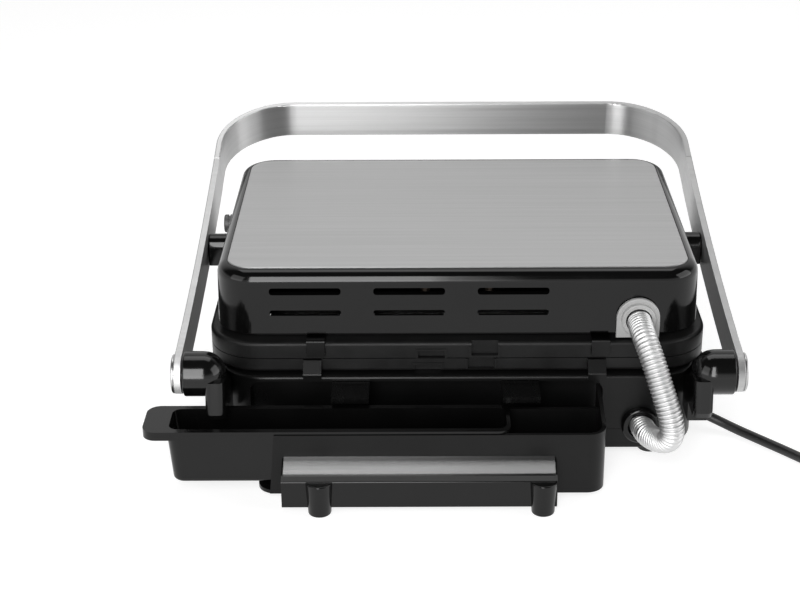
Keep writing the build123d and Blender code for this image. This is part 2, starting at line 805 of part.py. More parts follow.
# Spouts that carry the grease from the lower plate's drains to a mouth over the tray
with BuildPart() as drip_spouts:
    for x in SPOUT_XS:
        left = x - SPOUT_W / 2
        right = x + SPOUT_W / 2
        front = SPOUT_FRONT + SEAT_GAP
        add(block(left, right, front, SPOUT_REAR, SPOUT_Z, SPOUT_Z + SPOUT_H))
        add(
            block(
                left + SPOUT_WALL,
                right - SPOUT_WALL,
                front + SPOUT_WALL,
                SPOUT_REAR - SPOUT_WALL,
                SPOUT_Z + SPOUT_WALL,
                SPOUT_Z + SPOUT_H - SPOUT_WALL,
            ),
            mode=Mode.SUBTRACT,
        )
        add(
            block(
                left + SPOUT_WALL,
                right - SPOUT_WALL,
                SPOUT_REAR - SPOUT_WALL - SPOUT_MOUTH,
                SPOUT_REAR - SPOUT_WALL,
                SPOUT_Z - 1,
                SPOUT_Z + SPOUT_H / 2,
            ),
            mode=Mode.SUBTRACT,
        )
        add(
            rod_z(SPOUT_Z + SPOUT_H / 2, SPOUT_Z + SPOUT_H + 1, x, DRAIN_Y, DRAIN_R + 0.5),
            mode=Mode.SUBTRACT,
        )
drip_spouts.part.label = "drip_spouts"
export_step(drip_spouts.part, "parts/drip_spouts.step")

# Channel behind the base that the tray slides in
WALL_TOP_Z = TRAY_RIM_Z - TRAY_LIP_T - SEAT_GAP
FLOOR_TOP_Z = CHANNEL_FLOOR_Z + CHANNEL_WALL
RAIL_REAR = TRAY_FRONT - SLIDE_GAP
CHANNEL_FRONT = BASE_REAR + 2 * RUN_GAP
CHANNEL_MID_X = between(CHANNEL_RIGHT, CHANNEL_LEFT)
CHANNEL_MID_Y = between(BASE_REAR, CHANNEL_REAR)
CHANNEL_W = CHANNEL_LEFT - CHANNEL_RIGHT
with BuildPart() as tray_channel:
    add(
        block(
            CHANNEL_RIGHT,
            CHANNEL_FLOOR_LEFT,
            CHANNEL_FRONT,
            CHANNEL_REAR,
            CHANNEL_FLOOR_Z,
            FLOOR_TOP_Z,
            CHANNEL_CORNER,
        )
    )
    add(
        block(
            CHANNEL_RIGHT,
            CHANNEL_FLOOR_LEFT,
            CHANNEL_FRONT,
            BASE_REAR + 2 * CHANNEL_CORNER,
            CHANNEL_FLOOR_Z,
            FLOOR_TOP_Z,
        )
    )
    # Rear wall and the right end's wall round one corner
    with BuildSketch(level(CHANNEL_FLOOR_Z)):
        with Locations((CHANNEL_MID_X, CHANNEL_MID_Y)):
            RectangleRounded(CHANNEL_W, CHANNEL_DEPTH, CHANNEL_CORNER)
        with Locations((CHANNEL_MID_X + CHANNEL_WALL, CHANNEL_MID_Y)):
            RectangleRounded(
                CHANNEL_W,
                CHANNEL_DEPTH - 2 * CHANNEL_WALL,
                CHANNEL_CORNER - CHANNEL_WALL,
                mode=Mode.SUBTRACT,
            )
        with Locations((CHANNEL_MID_X, BASE_REAR)):
            Rectangle(CHANNEL_W, 2 * CHANNEL_CORNER + 4, mode=Mode.SUBTRACT)
        with Locations((CHANNEL_LEFT, CHANNEL_REAR - CHANNEL_CORNER)):
            Rectangle(2 * CHANNEL_CORNER, 2 * CHANNEL_CORNER + 2, mode=Mode.SUBTRACT)
    extrude(amount=WALL_TOP_Z - CHANNEL_FLOOR_Z)
    # The rear wall's left end flares to its foot
    with BuildSketch(upright(CHANNEL_REAR)):
        with BuildLine():
            Polyline(
                (CHANNEL_LEFT - CHANNEL_CORNER - 1, CHANNEL_FLOOR_Z),
                (CHANNEL_LEFT + CHANNEL_FLARE, CHANNEL_FLOOR_Z),
                (CHANNEL_LEFT, WALL_TOP_Z),
                (CHANNEL_LEFT - CHANNEL_CORNER - 1, WALL_TOP_Z),
                close=True,
            )
        make_face()
    extrude(amount=CHANNEL_WALL)
    # The right end's wall rises towards the base
    with BuildSketch(side(CHANNEL_RIGHT)):
        with BuildLine():
            Polyline(
                (CHANNEL_FRONT, CHANNEL_FLOOR_Z),
                (CHANNEL_REAR - CHANNEL_CORNER, CHANNEL_FLOOR_Z),
                (CHANNEL_REAR - CHANNEL_CORNER, CHANNEL_CORNER_Z),
                (CHANNEL_FRONT, CHANNEL_END_Z),
                close=True,
            )
        make_face()
    extrude(amount=CHANNEL_WALL)
    add(
        block(
            CHANNEL_RIGHT + 1,
            CHANNEL_LEFT,
            RAIL_REAR - CHANNEL_WALL,
            RAIL_REAR,
            FLOOR_TOP_Z - 0.5,
            WALL_TOP_Z,
        )
    )
    add(
        block(
            CHANNEL_RIGHT,
            CHANNEL_LEFT,
            CHANNEL_FRONT,
            CHANNEL_FRONT + CHANNEL_WALL,
            CHANNEL_FLOOR_Z,
            SEAM_Z - 2,
        )
    )
tray_channel.part.label = "tray_channel"
export_step(tray_channel.part, "parts/tray_channel.step")

# Drip tray: an open box with a lip on each long side and a pull tab at its left end
TRAY_MID_Y = between(TRAY_FRONT, TRAY_REAR)
TRAY_W = TRAY_LEFT - TRAY_RIGHT
TRAY_D = TRAY_REAR - TRAY_FRONT


def tray_outline(z, wall, draft):
    """Plan of the tray at height z, drawn in by a wall, with its left end drawn in by the draft."""
    with BuildSketch(level(z)) as plan:
        with Locations((between(TRAY_RIGHT, TRAY_LEFT - draft), TRAY_MID_Y)):
            RectangleRounded(TRAY_W - draft - 2 * wall, TRAY_D - 2 * wall, TRAY_CORNER - wall)
    return plan.sketch


with BuildPart() as drip_tray:
    loft([tray_outline(TRAY_RIM_Z, 0, 0), tray_outline(TRAY_BOTTOM_Z, 0, TRAY_DRAFT)])
    fillet(drip_tray.faces().sort_by(Axis.Z)[0].edges(), 3)
    add(
        block(
            TRAY_RIGHT - 0.5,
            TRAY_LEFT + TRAY_WALL,
            TRAY_FRONT - TRAY_LIP,
            TRAY_REAR + TRAY_LIP,
            TRAY_RIM_Z - TRAY_LIP_T,
            TRAY_RIM_Z,
            TRAY_CORNER,
        )
    )
    add(
        block(
            TRAY_LEFT - TAB_ROOT,
            TAB_REACH,
            TRAY_FRONT - TRAY_LIP,
            TRAY_REAR + TRAY_LIP,
            TRAY_RIM_Z - TAB_T,
            TRAY_RIM_Z,
            TRAY_CORNER + 1,
        )
    )
    loft(
        [
            tray_outline(TRAY_RIM_Z + 1, TRAY_WALL, 0),
            tray_outline(TRAY_BOTTOM_Z + TRAY_WALL, TRAY_WALL, TRAY_DRAFT),
        ],
        mode=Mode.SUBTRACT,
    )
drip_tray.part.label = "drip_tray"
export_step(drip_tray.part, "parts/drip_tray.step")

def lug(x):
    """Tapered lug on the bar's rear with a rounded rim."""
    with BuildPart() as made:
        with BuildSketch(level(BAR_FACE_Z)):
            with Locations((x, REAR_REACH - LUG_R)):
                Circle(LUG_R)
        extrude(amount=-BAR_FACE_Z, taper=LUG_TAPER)
        fillet(made.faces().sort_by(Axis.Z)[0].edges(), 1.2)
        fillet(made.faces().sort_by(Axis.Z)[-1].edges(), BAR_EDGE)
    return made.part


# Bar behind the channel with two lugs, which the grill stands on when it is stored upright
with BuildPart() as stand_bar:
    with BuildSketch(side(BAR_RIGHT)):
        with BuildLine():
            Polyline(
                (CHANNEL_REAR + 0.1, BAR_BOTTOM_Z),
                (BAR_REAR, BAR_BOTTOM_Z),
                (BAR_REAR, BAR_FACE_Z),
                (BAR_STEP_Y + 0.6, BAR_STEP_Z - 1.4),
                (CHANNEL_REAR + 0.1, BAR_TOP_Z - 1.4),
                close=True,
            )
        make_face()
    extrude(amount=BAR_LEFT - BAR_RIGHT)
    fillet(stand_bar.edges().filter_by(Axis.X).group_by(Axis.Y)[-1][-1], BAR_EDGE)
    for x in LUG_XS:
        add(lug(x))
stand_bar.part.label = "stand_bar"
export_step(stand_bar.part, "parts/stand_bar.step")

# Brushed strip on the bar's slope
with BuildPart() as stand_strip:
    with BuildSketch(side(BAR_RIGHT + 1.2)):
        with BuildLine():
            Polyline(
                (CHANNEL_REAR + 0.2, BAR_TOP_Z - 1.2),
                (BAR_STEP_Y + 0.5, BAR_STEP_Z - 1.2),
                (BAR_STEP_Y + 0.9, BAR_STEP_Z - 1.2 + STRIP_T),
                (CHANNEL_REAR + 0.2, BAR_TOP_Z - 1.0 + STRIP_T),
                close=True,
            )
        make_face()
    extrude(amount=BAR_LEFT - BAR_RIGHT - 2.4)
stand_strip.part.label = "stand_strip"
export_step(stand_strip.part, "parts/stand_strip.step")

# Inner parts of the base: thermostat, thermal fuse and terminal block
with BuildPart() as thermostat:
    add(
        block(
            KNOB_X - THERMOSTAT_W / 2,
            KNOB_X + THERMOSTAT_W / 2,
            -BASE_FRONT + BASE_WALL + SEAT_GAP,
            -BASE_FRONT + BASE_WALL + THERMOSTAT_D,
            KNOB_Z - THERMOSTAT_DROP,
            KNOB_Z + SHAFT_R + 0.5,
            2,
        )
    )
    add(rod_y(-BASE_FRONT - KNOB_H + 2, -BASE_FRONT + 4, KNOB_X, KNOB_Z, SHAFT_R))
thermostat.part.label = "thermostat"
export_step(thermostat.part, "parts/thermostat.step")

PAN_BOTTOM_Z = PAN_TOP_Z - PAN_DEPTH
with BuildPart() as thermal_fuse:
    add(rod_y(-FUSE_L / 2, FUSE_L / 2, FUSE_X, PAN_BOTTOM_Z - SEAT_GAP - FUSE_R, FUSE_R))
thermal_fuse.part.label = "thermal_fuse"
export_step(thermal_fuse.part, "parts/thermal_fuse.step")

COVER_FLOOR_Z = BASE_BOTTOM_Z + BASE_WALL
with BuildPart() as terminal_block:
    add(
        block(
            TERMINAL_X - TERMINAL_W / 2,
            TERMINAL_X + TERMINAL_W / 2,
            TERMINAL_Y - TERMINAL_D / 2,
            TERMINAL_Y + TERMINAL_D / 2,
            COVER_FLOOR_Z + SEAT_GAP,
            COVER_FLOOR_Z + TERMINAL_H,
            1.5,
        )
    )
terminal_block.part.label = "terminal_block"
export_step(terminal_block.part, "parts/terminal_block.step")

# Controls on the front wall
with BuildPart() as temperature_knob:
    with BuildSketch(upright(-BASE_FRONT - SLIDE_GAP)):
        with Locations((KNOB_X, KNOB_Z)):
            Circle(KNOB_R)
    extrude(amount=KNOB_H, taper=4)
    fillet(temperature_knob.faces().sort_by(Axis.Y)[0].edges(), 1.5)
    add(
        rod_y(-BASE_FRONT - KNOB_H + 1, -BASE_FRONT, KNOB_X, KNOB_Z, SHAFT_R + RUN_GAP),
        mode=Mode.SUBTRACT,
    )
    with BuildSketch(upright(-BASE_FRONT - KNOB_H + 0.6)):
        with Locations((KNOB_X, KNOB_Z + KNOB_R / 2 + 1)):
            SlotOverall(KNOB_R - 6, 1.6, rotation=90)
    extrude(amount=2, mode=Mode.SUBTRACT)
temperature_knob.part.label = "temperature_knob"
export_step(temperature_knob.part, "parts/temperature_knob.step")

with BuildPart() as indicator_lenses:
    for x in LENS_XS:
        add(rod_y(-BASE_FRONT - 1, -BASE_FRONT + BASE_WALL, x, KNOB_Z, LENS_R))
        add(rod_y(-BASE_FRONT + BASE_WALL + 0.1, -BASE_FRONT + 5, x, KNOB_Z, LENS_R + 1))
        add(rod_y(-BASE_FRONT + 1, -BASE_FRONT + 4, x, KNOB_Z, LENS_R - 0.5))
indicator_lenses.part.label = "indicator_lenses"
export_step(indicator_lenses.part, "parts/indicator_lenses.step")


def push_button(wall_y, bottom_z, wall):
    """Wide button through a front wall, with a flange behind it that keeps it in."""
    with BuildPart() as made:
        add(
            block(
                -BUTTON_W / 2,
                BUTTON_W / 2,
                -wall_y - BUTTON_PROUD,
                -wall_y + wall + 0.5,
                bottom_z,
                bottom_z + BUTTON_H,
            )
        )
        fillet(made.faces().sort_by(Axis.Y)[0].edges(), 1.2)
        add(
            block(
                -BUTTON_W / 2 - 2,
                BUTTON_W / 2 + 2,
                -wall_y + wall + 0.4,
                -wall_y + wall + 3,
                bottom_z - 1.4,
                bottom_z + BUTTON_H + 1.4,
            )
        )
    return made.part


with BuildPart() as lower_release_button:
    add(push_button(BASE_FRONT, LOWER_BUTTON_Z, BASE_WALL))
lower_release_button.part.label = "lower_release_button"
export_step(lower_release_button.part, "parts/lower_release_button.step")

# Hinge brackets: a plate on the base's flank, a leg behind it and a ball with the pin's sleeve
FLANK_IN_X = BASE_HALF_W + SEAM_GAP
FLANK_OUT_X = FLANK_IN_X + FLANK_T
LEG_REAR_Y = HINGE_Y + POD_R + LEG_SLOPE
LEG_STEP_Y = TRAY_FRONT - TRAY_LIP - LEG_CLEAR
LEG_STEP_Z = TRAY_RIM_Z + LEG_CLEAR
with BuildPart() as hinge_bracket_left:
    with BuildSketch(side(LEG_IN_X)):
        with BuildLine():
            Polyline(
                (LEG_FRONT_Y, LEG_Z),
                (LEG_STEP_Y, LEG_Z),
                (LEG_STEP_Y, LEG_STEP_Z),
                (LEG_REAR_Y - LEG_FOOT_TAPER / 2, LEG_STEP_Z),
                (LEG_REAR_Y, LEG_STEP_Z + LEG_FOOT_TAPER),
                (HINGE_Y + POD_R, HINGE_Z),
                (HINGE_Y, HINGE_Z),
                (LEG_FRONT_Y, BASE_TOP_Z - LEG_FOOT_TAPER),
                close=True,
            )
        make_face()
    extrude(amount=LEG_W)
    leg_rear = hinge_bracket_left.faces().sort_by(Axis.Y)[-2:]
    fillet(leg_rear.edges().filter_by(Axis.X, reverse=True), LEG_ROUND)
    with BuildSketch(side(FLANK_IN_X)):
        with BuildLine():
            Polyline(
                (FLANK_FRONT_Y, FLANK_BOTTOM_Z),
                (FLANK_FRONT_Y, BASE_TOP_Z - 0.6),
                (LEG_FRONT_Y + LEG_ROUND, BASE_TOP_Z - 0.6),
                (LEG_FRONT_Y + LEG_ROUND, FLANK_BOTTOM_Z + 2),
                close=True,
            )
        make_face()
    extrude(amount=FLANK_T)
    add(rod_x(POD_BALL_X, POD_END_X, HINGE_Y, HINGE_Z, POD_R))
    fillet(hinge_bracket_left.faces().sort_by(Axis.X)[-1].edges(), 1.2)
    with BuildSketch(side(POD_BALL_X)):
        with BuildLine():
            CenterArc((HINGE_Y, HINGE_Z), POD_R, -90, 180)
            Line((HINGE_Y, HINGE_Z + POD_R), (HINGE_Y, HINGE_Z - POD_R))
        make_face()
    revolve(axis=Axis(spot(POD_BALL_X, HINGE_Y, HINGE_Z), (0, 0, 1)), revolution_arc=180)
    add(
        rod_x(POD_BALL_X - 3, POD_END_X + 1, HINGE_Y, HINGE_Z, HINGE_PIN_R + RUN_GAP),
        mode=Mode.SUBTRACT,
    )
    for y in BRACKET_SCREW_YS:
        add(
            rod_x(FLANK_IN_X - 1, FLANK_OUT_X + 1, y, BRACKET_SCREW_Z, SCREW_R + RUN_GAP),
            mode=Mode.SUBTRACT,
        )
        add(
            rod_x(
                FLANK_OUT_X - 3,
                FLANK_OUT_X + 1,
                y,
                BRACKET_SCREW_Z,
                SCREW_HEAD_R + SCREW_HEAD_GAP,
            ),
            mode=Mode.SUBTRACT,
        )
hinge_bracket_left.part.label = "hinge_bracket_left"
export_step(hinge_bracket_left.part, "parts/hinge_bracket_left.step")

with BuildPart() as hinge_bracket_right:
    mirror(hinge_bracket_left.part, about=MIRROR, mode=Mode.ADD)
hinge_bracket_right.part.label = "hinge_bracket_right"
export_step(hinge_bracket_right.part, "parts/hinge_bracket_right.step")

with BuildPart() as bracket_screws:
    for y in BRACKET_SCREW_YS:
        add(rod_x(BASE_HALF_W - 6.5, FLANK_OUT_X - 2.8, y, BRACKET_SCREW_Z, SCREW_R))
        add(rod_x(FLANK_OUT_X - 2.8, FLANK_OUT_X - 0.6, y, BRACKET_SCREW_Z, SCREW_HEAD_R))
    mirror(about=MIRROR)
bracket_screws.part.label = "bracket_screws"
export_step(bracket_screws.part, "parts/bracket_screws.step")

# Lift arms: a flat strap on edge from the handle to the hinge pin, narrower towards the pin
def strap_edge(sign):
    """Three points on one edge of the strap, square to its line by half its width there."""
    points = []
    for share, width in ((0, STRAP_FRONT_W), (0.5, STRAP_MID_W), (1, STRAP_HINGE_W)):
        here = strap_curve @ share
        along = strap_curve % share
        points.append(
            (here.X - sign * along.Y * width / 2, here.Y + sign * along.X * width / 2)
        )
    return points


with BuildPart(Plane.XY, mode=Mode.PRIVATE) as strap_blank:
    with BuildSketch(side(STRAP_IN_X)):
        with BuildLine():
            upper_edge = strap_edge(1)
            lower_edge = strap_edge(-1)
            ThreePointArc(*upper_edge)
            ThreePointArc(*lower_edge)
            Line(upper_edge[0], lower_edge[0])
            Line(upper_edge[2], lower_edge[2])
        make_face()
    extrude(amount=STRAP_T)

HANDLE_UP = (0, math.sin(HANDLE_ANGLE), math.cos(HANDLE_ANGLE))
HANDLE_PLANE = Plane(origin=spot(0, *ARM_FRONT), x_dir=(1, 0, 0), z_dir=HANDLE_UP)
HANDLE_MID_X = between(STRAP_IN_X, STRAP_OUT_X)
HANDLE_RUN = HANDLE_LENGTH - STRAP_T / 2


def dowels(radius):
    """Two dowels on each side across the joint between arm and handle."""
    with BuildPart() as made:
        with BuildSketch(
            Plane(
                origin=spot(0, *ARM_FRONT),
                x_dir=(1, 0, 0),
                z_dir=(0, -math.cos(HANDLE_ANGLE), math.sin(HANDLE_ANGLE)),
            ).offset(-DOWEL_L / 2)
        ):
            with GridLocations(2 * HANDLE_MID_X, STRAP_FRONT_W / 2, 2, 2):
                Circle(radius)
        extrude(amount=DOWEL_L)
    return made.part


with BuildPart() as arm_left:
    add(strap_blank.part)
    add(rod_x(STRAP_IN_X, STRAP_OUT_X, HINGE_Y, HINGE_Z, STRAP_HINGE_W / 2 + 0.2))
    fillet(arm_left.faces().sort_by(Axis.X)[-1].edges(), 0.8)
    add(
        rod_x(STRAP_IN_X - 1, STRAP_OUT_X + 1, HINGE_Y, HINGE_Z, HINGE_PIN_R + RUN_GAP),
        mode=Mode.SUBTRACT,
    )
    add(
        rod_x(STRAP_IN_X - 1, STRAP_OUT_X + 1, PIVOT_Y, PIVOT_Z, PIVOT_R + RUN_GAP),
        mode=Mode.SUBTRACT,
    )
    add(dowels(DOWEL_R + RUN_GAP), mode=Mode.SUBTRACT)
arm_left.part.label = "arm_left"
export_step(arm_left.part, "parts/arm_left.step")

with BuildPart() as arm_right:
    mirror(arm_left.part, about=MIRROR, mode=Mode.ADD)
arm_right.part.label = "arm_right"
export_step(arm_right.part, "parts/arm_right.step")

# Handle: the strap goes on forward, turns two wide corners and crosses the front
with BuildPart() as handle:
    with BuildSketch(HANDLE_PLANE.offset(-STRAP_FRONT_W / 2)):
        with BuildLine():
            FilletPolyline(
                (HANDLE_MID_X, -SEAM_GAP),
                (HANDLE_MID_X, -HANDLE_RUN),
                (-HANDLE_MID_X, -HANDLE_RUN),
                (-HANDLE_MID_X, -SEAM_GAP),
                radius=HANDLE_CORNER - STRAP_T / 2,
            )
        trace(line_width=STRAP_T)
    extrude(amount=STRAP_FRONT_W)
    fillet(handle.faces().sort_by(Axis(spot(0, 0, 0), HANDLE_UP))[0].edges(), 0.8)
    fillet(handle.faces().sort_by(Axis(spot(0, 0, 0), HANDLE_UP))[-1].edges(), 0.8)
    add(dowels(DOWEL_R + RUN_GAP), mode=Mode.SUBTRACT)
handle.part.label = "handle"
export_step(handle.part, "parts/handle.step")

with BuildPart() as handle_dowels:
    add(dowels(DOWEL_R))
handle_dowels.part.label = "handle_dowels"
export_step(handle_dowels.part, "parts/handle_dowels.step")

# Pins and caps of the arms
with BuildPart() as hinge_pins:
    add(rod_x(POD_BALL_X - 2.5, STRAP_OUT_X, HINGE_Y, HINGE_Z, HINGE_PIN_R))
    mirror(about=MIRROR)
hinge_pins.part.label = "hinge_pins"
export_step(hinge_pins.part, "parts/hinge_pins.step")

with BuildPart() as hinge_caps:
    add(rod_x(STRAP_OUT_X + 2 * RUN_GAP, SIDE_REACH, HINGE_Y, HINGE_Z, STRAP_HINGE_W / 2))
    fillet(hinge_caps.faces().sort_by(Axis.X)[-1].edges(), 1.0)
    mirror(about=MIRROR)
hinge_caps.part.label = "hinge_caps"
export_step(hinge_caps.part, "parts/hinge_caps.step")

BOSS_OUT_X = STRAP_IN_X - SLIDE_GAP
with BuildPart() as pivot_pins:
    add(rod_x(BOSS_OUT_X - PIVOT_DEPTH, STRAP_OUT_X, PIVOT_Y, PIVOT_Z, PIVOT_R))
    mirror(about=MIRROR)
pivot_pins.part.label = "pivot_pins"
export_step(pivot_pins.part, "parts/pivot_pins.step")

with BuildPart() as pivot_caps:
    add(rod_x(STRAP_OUT_X + 2 * RUN_GAP, SIDE_REACH, PIVOT_Y, PIVOT_Z, PIVOT_R + 1.3))
    fillet(pivot_caps.faces().sort_by(Axis.X)[-1].edges(), 1.2)
    mirror(about=MIRROR)
pivot_caps.part.label = "pivot_caps"
export_step(pivot_caps.part, "parts/pivot_caps.step")

# Bosses on the lid's flanks that turn on the pivot pins
with BuildPart() as pivot_bosses:
    add(rod_x(LID_HALF_W + SEAT_GAP, BOSS_OUT_X, PIVOT_Y, PIVOT_Z, PIVOT_BOSS_R))
    add(
        block(
            LID_HALF_W + SEAT_GAP,
            BOSS_OUT_X,
            PIVOT_Y - PIVOT_BOSS_R,
            PIVOT_Y + PIVOT_BOSS_R,
            FRAME_Z + 2,
            PIVOT_Z,
        )
    )
    fillet(pivot_bosses.faces().sort_by(Axis.X)[-1].edges(), 1.2)
    add(
        rod_x(BOSS_OUT_X - PIVOT_DEPTH - 0.5, BOSS_OUT_X + 1, PIVOT_Y, PIVOT_Z, PIVOT_R + RUN_GAP),
        mode=Mode.SUBTRACT,
    )
    mirror(about=MIRROR)
pivot_bosses.part.label = "pivot_bosses"
export_step(pivot_bosses.part, "parts/pivot_bosses.step")

# Lid frame that carries the upper plate, seated inside the shell's rim
PLUG_TOP_Z = LID_BOTTOM_Z + FRAME_PLUG_H
FRAME_OPEN_W = WELL_HALF_W + 4.0
FRAME_OPEN_D = WELL_HALF_D + 2.0
LID_SCREW_X = LID_HALF_W - LID_SCREW_INSET_X
LID_SCREW_SPOTS = [(sx * LID_SCREW_X, y) for sx in (-1, 1) for y in LID_SCREW_YS]
with BuildPart() as lid_frame:
    add(
        block(
            -LID_HALF_W + FRAME_INSET,
            LID_HALF_W - FRAME_INSET,
            -LID_HALF_D + FRAME_INSET,
            LID_HALF_D - FRAME_INSET,
            FRAME_Z,
            LID_BOTTOM_Z + 0.2,
            LID_CORNER - 4,
        )
    )
    add(
        block(
            -LID_HALF_W + LID_WALL + SEAT_GAP,
            LID_HALF_W - LID_WALL - SEAT_GAP,
            -LID_HALF_D + LID_WALL + SEAT_GAP,
            LID_HALF_D - LID_WALL - SEAT_GAP,
            LID_BOTTOM_Z + 0.2,
            PLUG_TOP_Z,
            LID_CORNER - LID_WALL - SEAT_GAP,
        )
    )
    add(
        block(
            -FRAME_OPEN_W,
            FRAME_OPEN_W,
            -FRAME_OPEN_D,
            FRAME_OPEN_D,
            FRAME_Z - 1,
            PLUG_TOP_Z + 1,
            20,
        ),
        mode=Mode.SUBTRACT,
    )
    for x, y in LID_SCREW_SPOTS:
        add(rod_z(FRAME_Z - 1, PLUG_TOP_Z + 1, x, y, SCREW_R + RUN_GAP), mode=Mode.SUBTRACT)
        add(
            rod_z(FRAME_Z - 1, FRAME_Z + 2.6, x, y, SCREW_HEAD_R + SCREW_HEAD_GAP),
            mode=Mode.SUBTRACT,
        )
    add(
        rod_y(LID_HALF_D - 12, LID_HALF_D + 1, HOSE_LID_X, HOSE_LID_Z, HOSE_R + 0.8),
        mode=Mode.SUBTRACT,
    )
lid_frame.part.label = "lid_frame"
export_step(lid_frame.part, "parts/lid_frame.step")

# Upper reflector: the same pan upside down on the frame
UPPER_PAN_Z = PLUG_TOP_Z + 2 * RUN_GAP
UPPER_PAN_TOP_Z = UPPER_PAN_Z + UPPER_PAN_H
with BuildPart() as upper_reflector:
    add(rim_block(FRAME_OPEN_W, FRAME_OPEN_D, 3.5, UPPER_PAN_Z, UPPER_PAN_Z + SHEET))
    add(rim_block(WELL_HALF_W, WELL_HALF_D, 0, UPPER_PAN_Z, UPPER_PAN_TOP_Z))
    add(
        rim_block(WELL_HALF_W, WELL_HALF_D, -SHEET, UPPER_PAN_Z - 1, UPPER_PAN_TOP_Z - SHEET),
        mode=Mode.SUBTRACT,
    )
    for x in (-ELEMENT_END_X, ELEMENT_END_X):
        add(
            rod_z(UPPER_PAN_Z, UPPER_PAN_Z + PAN_DEPTH, x, ELEMENT_HALF_D, ELEMENT_R + SEAT_GAP),
            mode=Mode.SUBTRACT,
        )
upper_reflector.part.label = "upper_reflector"
export_step(upper_reflector.part, "parts/upper_reflector.step")

# Upper element, its ends up through the pan
UPPER_ELEMENT_Z = UPPER_PLATE_Z + UPPER_PLATE_H + SEAT_GAP + ELEMENT_R
with BuildPart() as upper_element:
    add(element(UPPER_ELEMENT_Z, ELEMENT_TAIL))
upper_element.part.label = "upper_element"
export_step(upper_element.part, "parts/upper_element.step")

with BuildPart() as upper_limiter:
    add(rod_z(UPPER_PAN_TOP_Z + SEAT_GAP, UPPER_PAN_TOP_Z + LIMITER_H, 0, 0, LIMITER_R))
    add(
        rod_z(
            UPPER_PAN_TOP_Z + LIMITER_H,
            UPPER_PAN_TOP_Z + 1.5 * LIMITER_H,
            0,
            0,
            LIMITER_R / 2,
        )
    )
upper_limiter.part.label = "upper_limiter"
export_step(upper_limiter.part, "parts/upper_limiter.step")

# Lid shell with its panel pocket, vents and screw posts
POCKET_Z = LID_TOP_Z + PANEL_PROUD - PANEL_T - 2 * RUN_GAP
CAVITY_TOP_Z = POCKET_Z - LID_WALL
SLOT_INNER_X = LID_HALF_W - LID_WALL
with BuildPart() as lid_shell:
    with BuildSketch(level(LID_BOTTOM_Z)):
        RectangleRounded(2 * LID_HALF_W, 2 * LID_HALF_D, LID_CORNER)
    extrude(amount=LID_TOP_Z - LID_BOTTOM_Z, taper=LID_TAPER)
    fillet(lid_shell.faces().sort_by(Axis.Z)[-1].edges(), LID_TOP_FILLET)
    with BuildSketch(level(LID_BOTTOM_Z)):
        RectangleRounded(
            2 * (LID_HALF_W - LID_WALL),
            2 * (LID_HALF_D - LID_WALL),
            LID_CORNER - LID_WALL,
        )
    extrude(amount=CAVITY_TOP_Z - LID_BOTTOM_Z, taper=LID_TAPER, mode=Mode.SUBTRACT)
    add(
        block(
            -PANEL_HALF_W - PANEL_GROOVE,
            PANEL_HALF_W + PANEL_GROOVE,
            -PANEL_HALF_D - PANEL_GROOVE,
            PANEL_HALF_D + PANEL_GROOVE,
            POCKET_Z,
            LID_TOP_Z + 1,
            PANEL_CORNER + PANEL_GROOVE,
        ),
        mode=Mode.SUBTRACT,
    )
    for z, h in ((VENT_UPPER_Z, VENT_UPPER_H), (VENT_LOWER_Z, VENT_LOWER_H)):
        with BuildSketch(upright(LID_HALF_D + 1)):
            with Locations((VENT_MID_X, z)):
                with GridLocations(VENT_PITCH, 1, 3, 1):
                    RectangleRounded(VENT_W, h, h / 2 - 0.4)
        extrude(amount=LID_WALL + 4, mode=Mode.SUBTRACT)
    # Sill inside each upper vent
    for step in (-1, 0, 1):
        x = VENT_MID_X + step * VENT_PITCH
        sill_z = VENT_UPPER_Z - VENT_UPPER_H / 2
        add(
            block(
                x - VENT_W / 2,
                x + VENT_W / 2,
                LID_HALF_D - LID_WALL - SILL_DEPTH,
                LID_HALF_D - LID_WALL,
                sill_z - SILL_T,
                sill_z,
            )
        )
    add(
        rod_y(LID_HALF_D - 6, LID_HALF_D + 1, HOSE_LID_X, HOSE_LID_Z, HOSE_R + 0.8),
        mode=Mode.SUBTRACT,
    )
    add(
        block(
            -BUTTON_W / 2 - SLIDE_GAP,
            BUTTON_W / 2 + SLIDE_GAP,
            -LID_HALF_D - 1,
            -LID_HALF_D + 6,
            UPPER_BUTTON_Z - SLIDE_GAP,
            UPPER_BUTTON_Z + BUTTON_H + SLIDE_GAP,
        ),
        mode=Mode.SUBTRACT,
    )
    with BuildSketch(side(SLOT_INNER_X - 4)):
        with Locations((LOCK_Y + LOCK_TRAVEL / 2, LOCK_Z)):
            SlotCenterToCenter(LOCK_TRAVEL + 0.4, 2 * (SHAFT_R + SLIDE_GAP))
    extrude(amount=LID_WALL + 6, mode=Mode.SUBTRACT)
    for x, y in LID_SCREW_SPOTS:
        add(rod_z(PLUG_TOP_Z + 0.2, POCKET_Z - 1, x, y, SCREW_POST_R - 1))
        add(rod_z(PLUG_TOP_Z, PLUG_TOP_Z + 16, x, y, SCREW_R + RUN_GAP), mode=Mode.SUBTRACT)
lid_shell.part.label = "lid_shell"
export_step(lid_shell.part, "parts/lid_shell.step")

with BuildPart() as lid_panel:
    add(
        block(
            -PANEL_HALF_W,
            PANEL_HALF_W,
            -PANEL_HALF_D,
            PANEL_HALF_D,
            POCKET_Z + 2 * RUN_GAP,
            LID_TOP_Z + PANEL_PROUD,
            PANEL_CORNER,
        )
    )
    chamfer(lid_panel.faces().sort_by(Axis.Z)[-1].edges(), PANEL_BEVEL)
lid_panel.part.label = "lid_panel"
export_step(lid_panel.part, "parts/lid_panel.step")

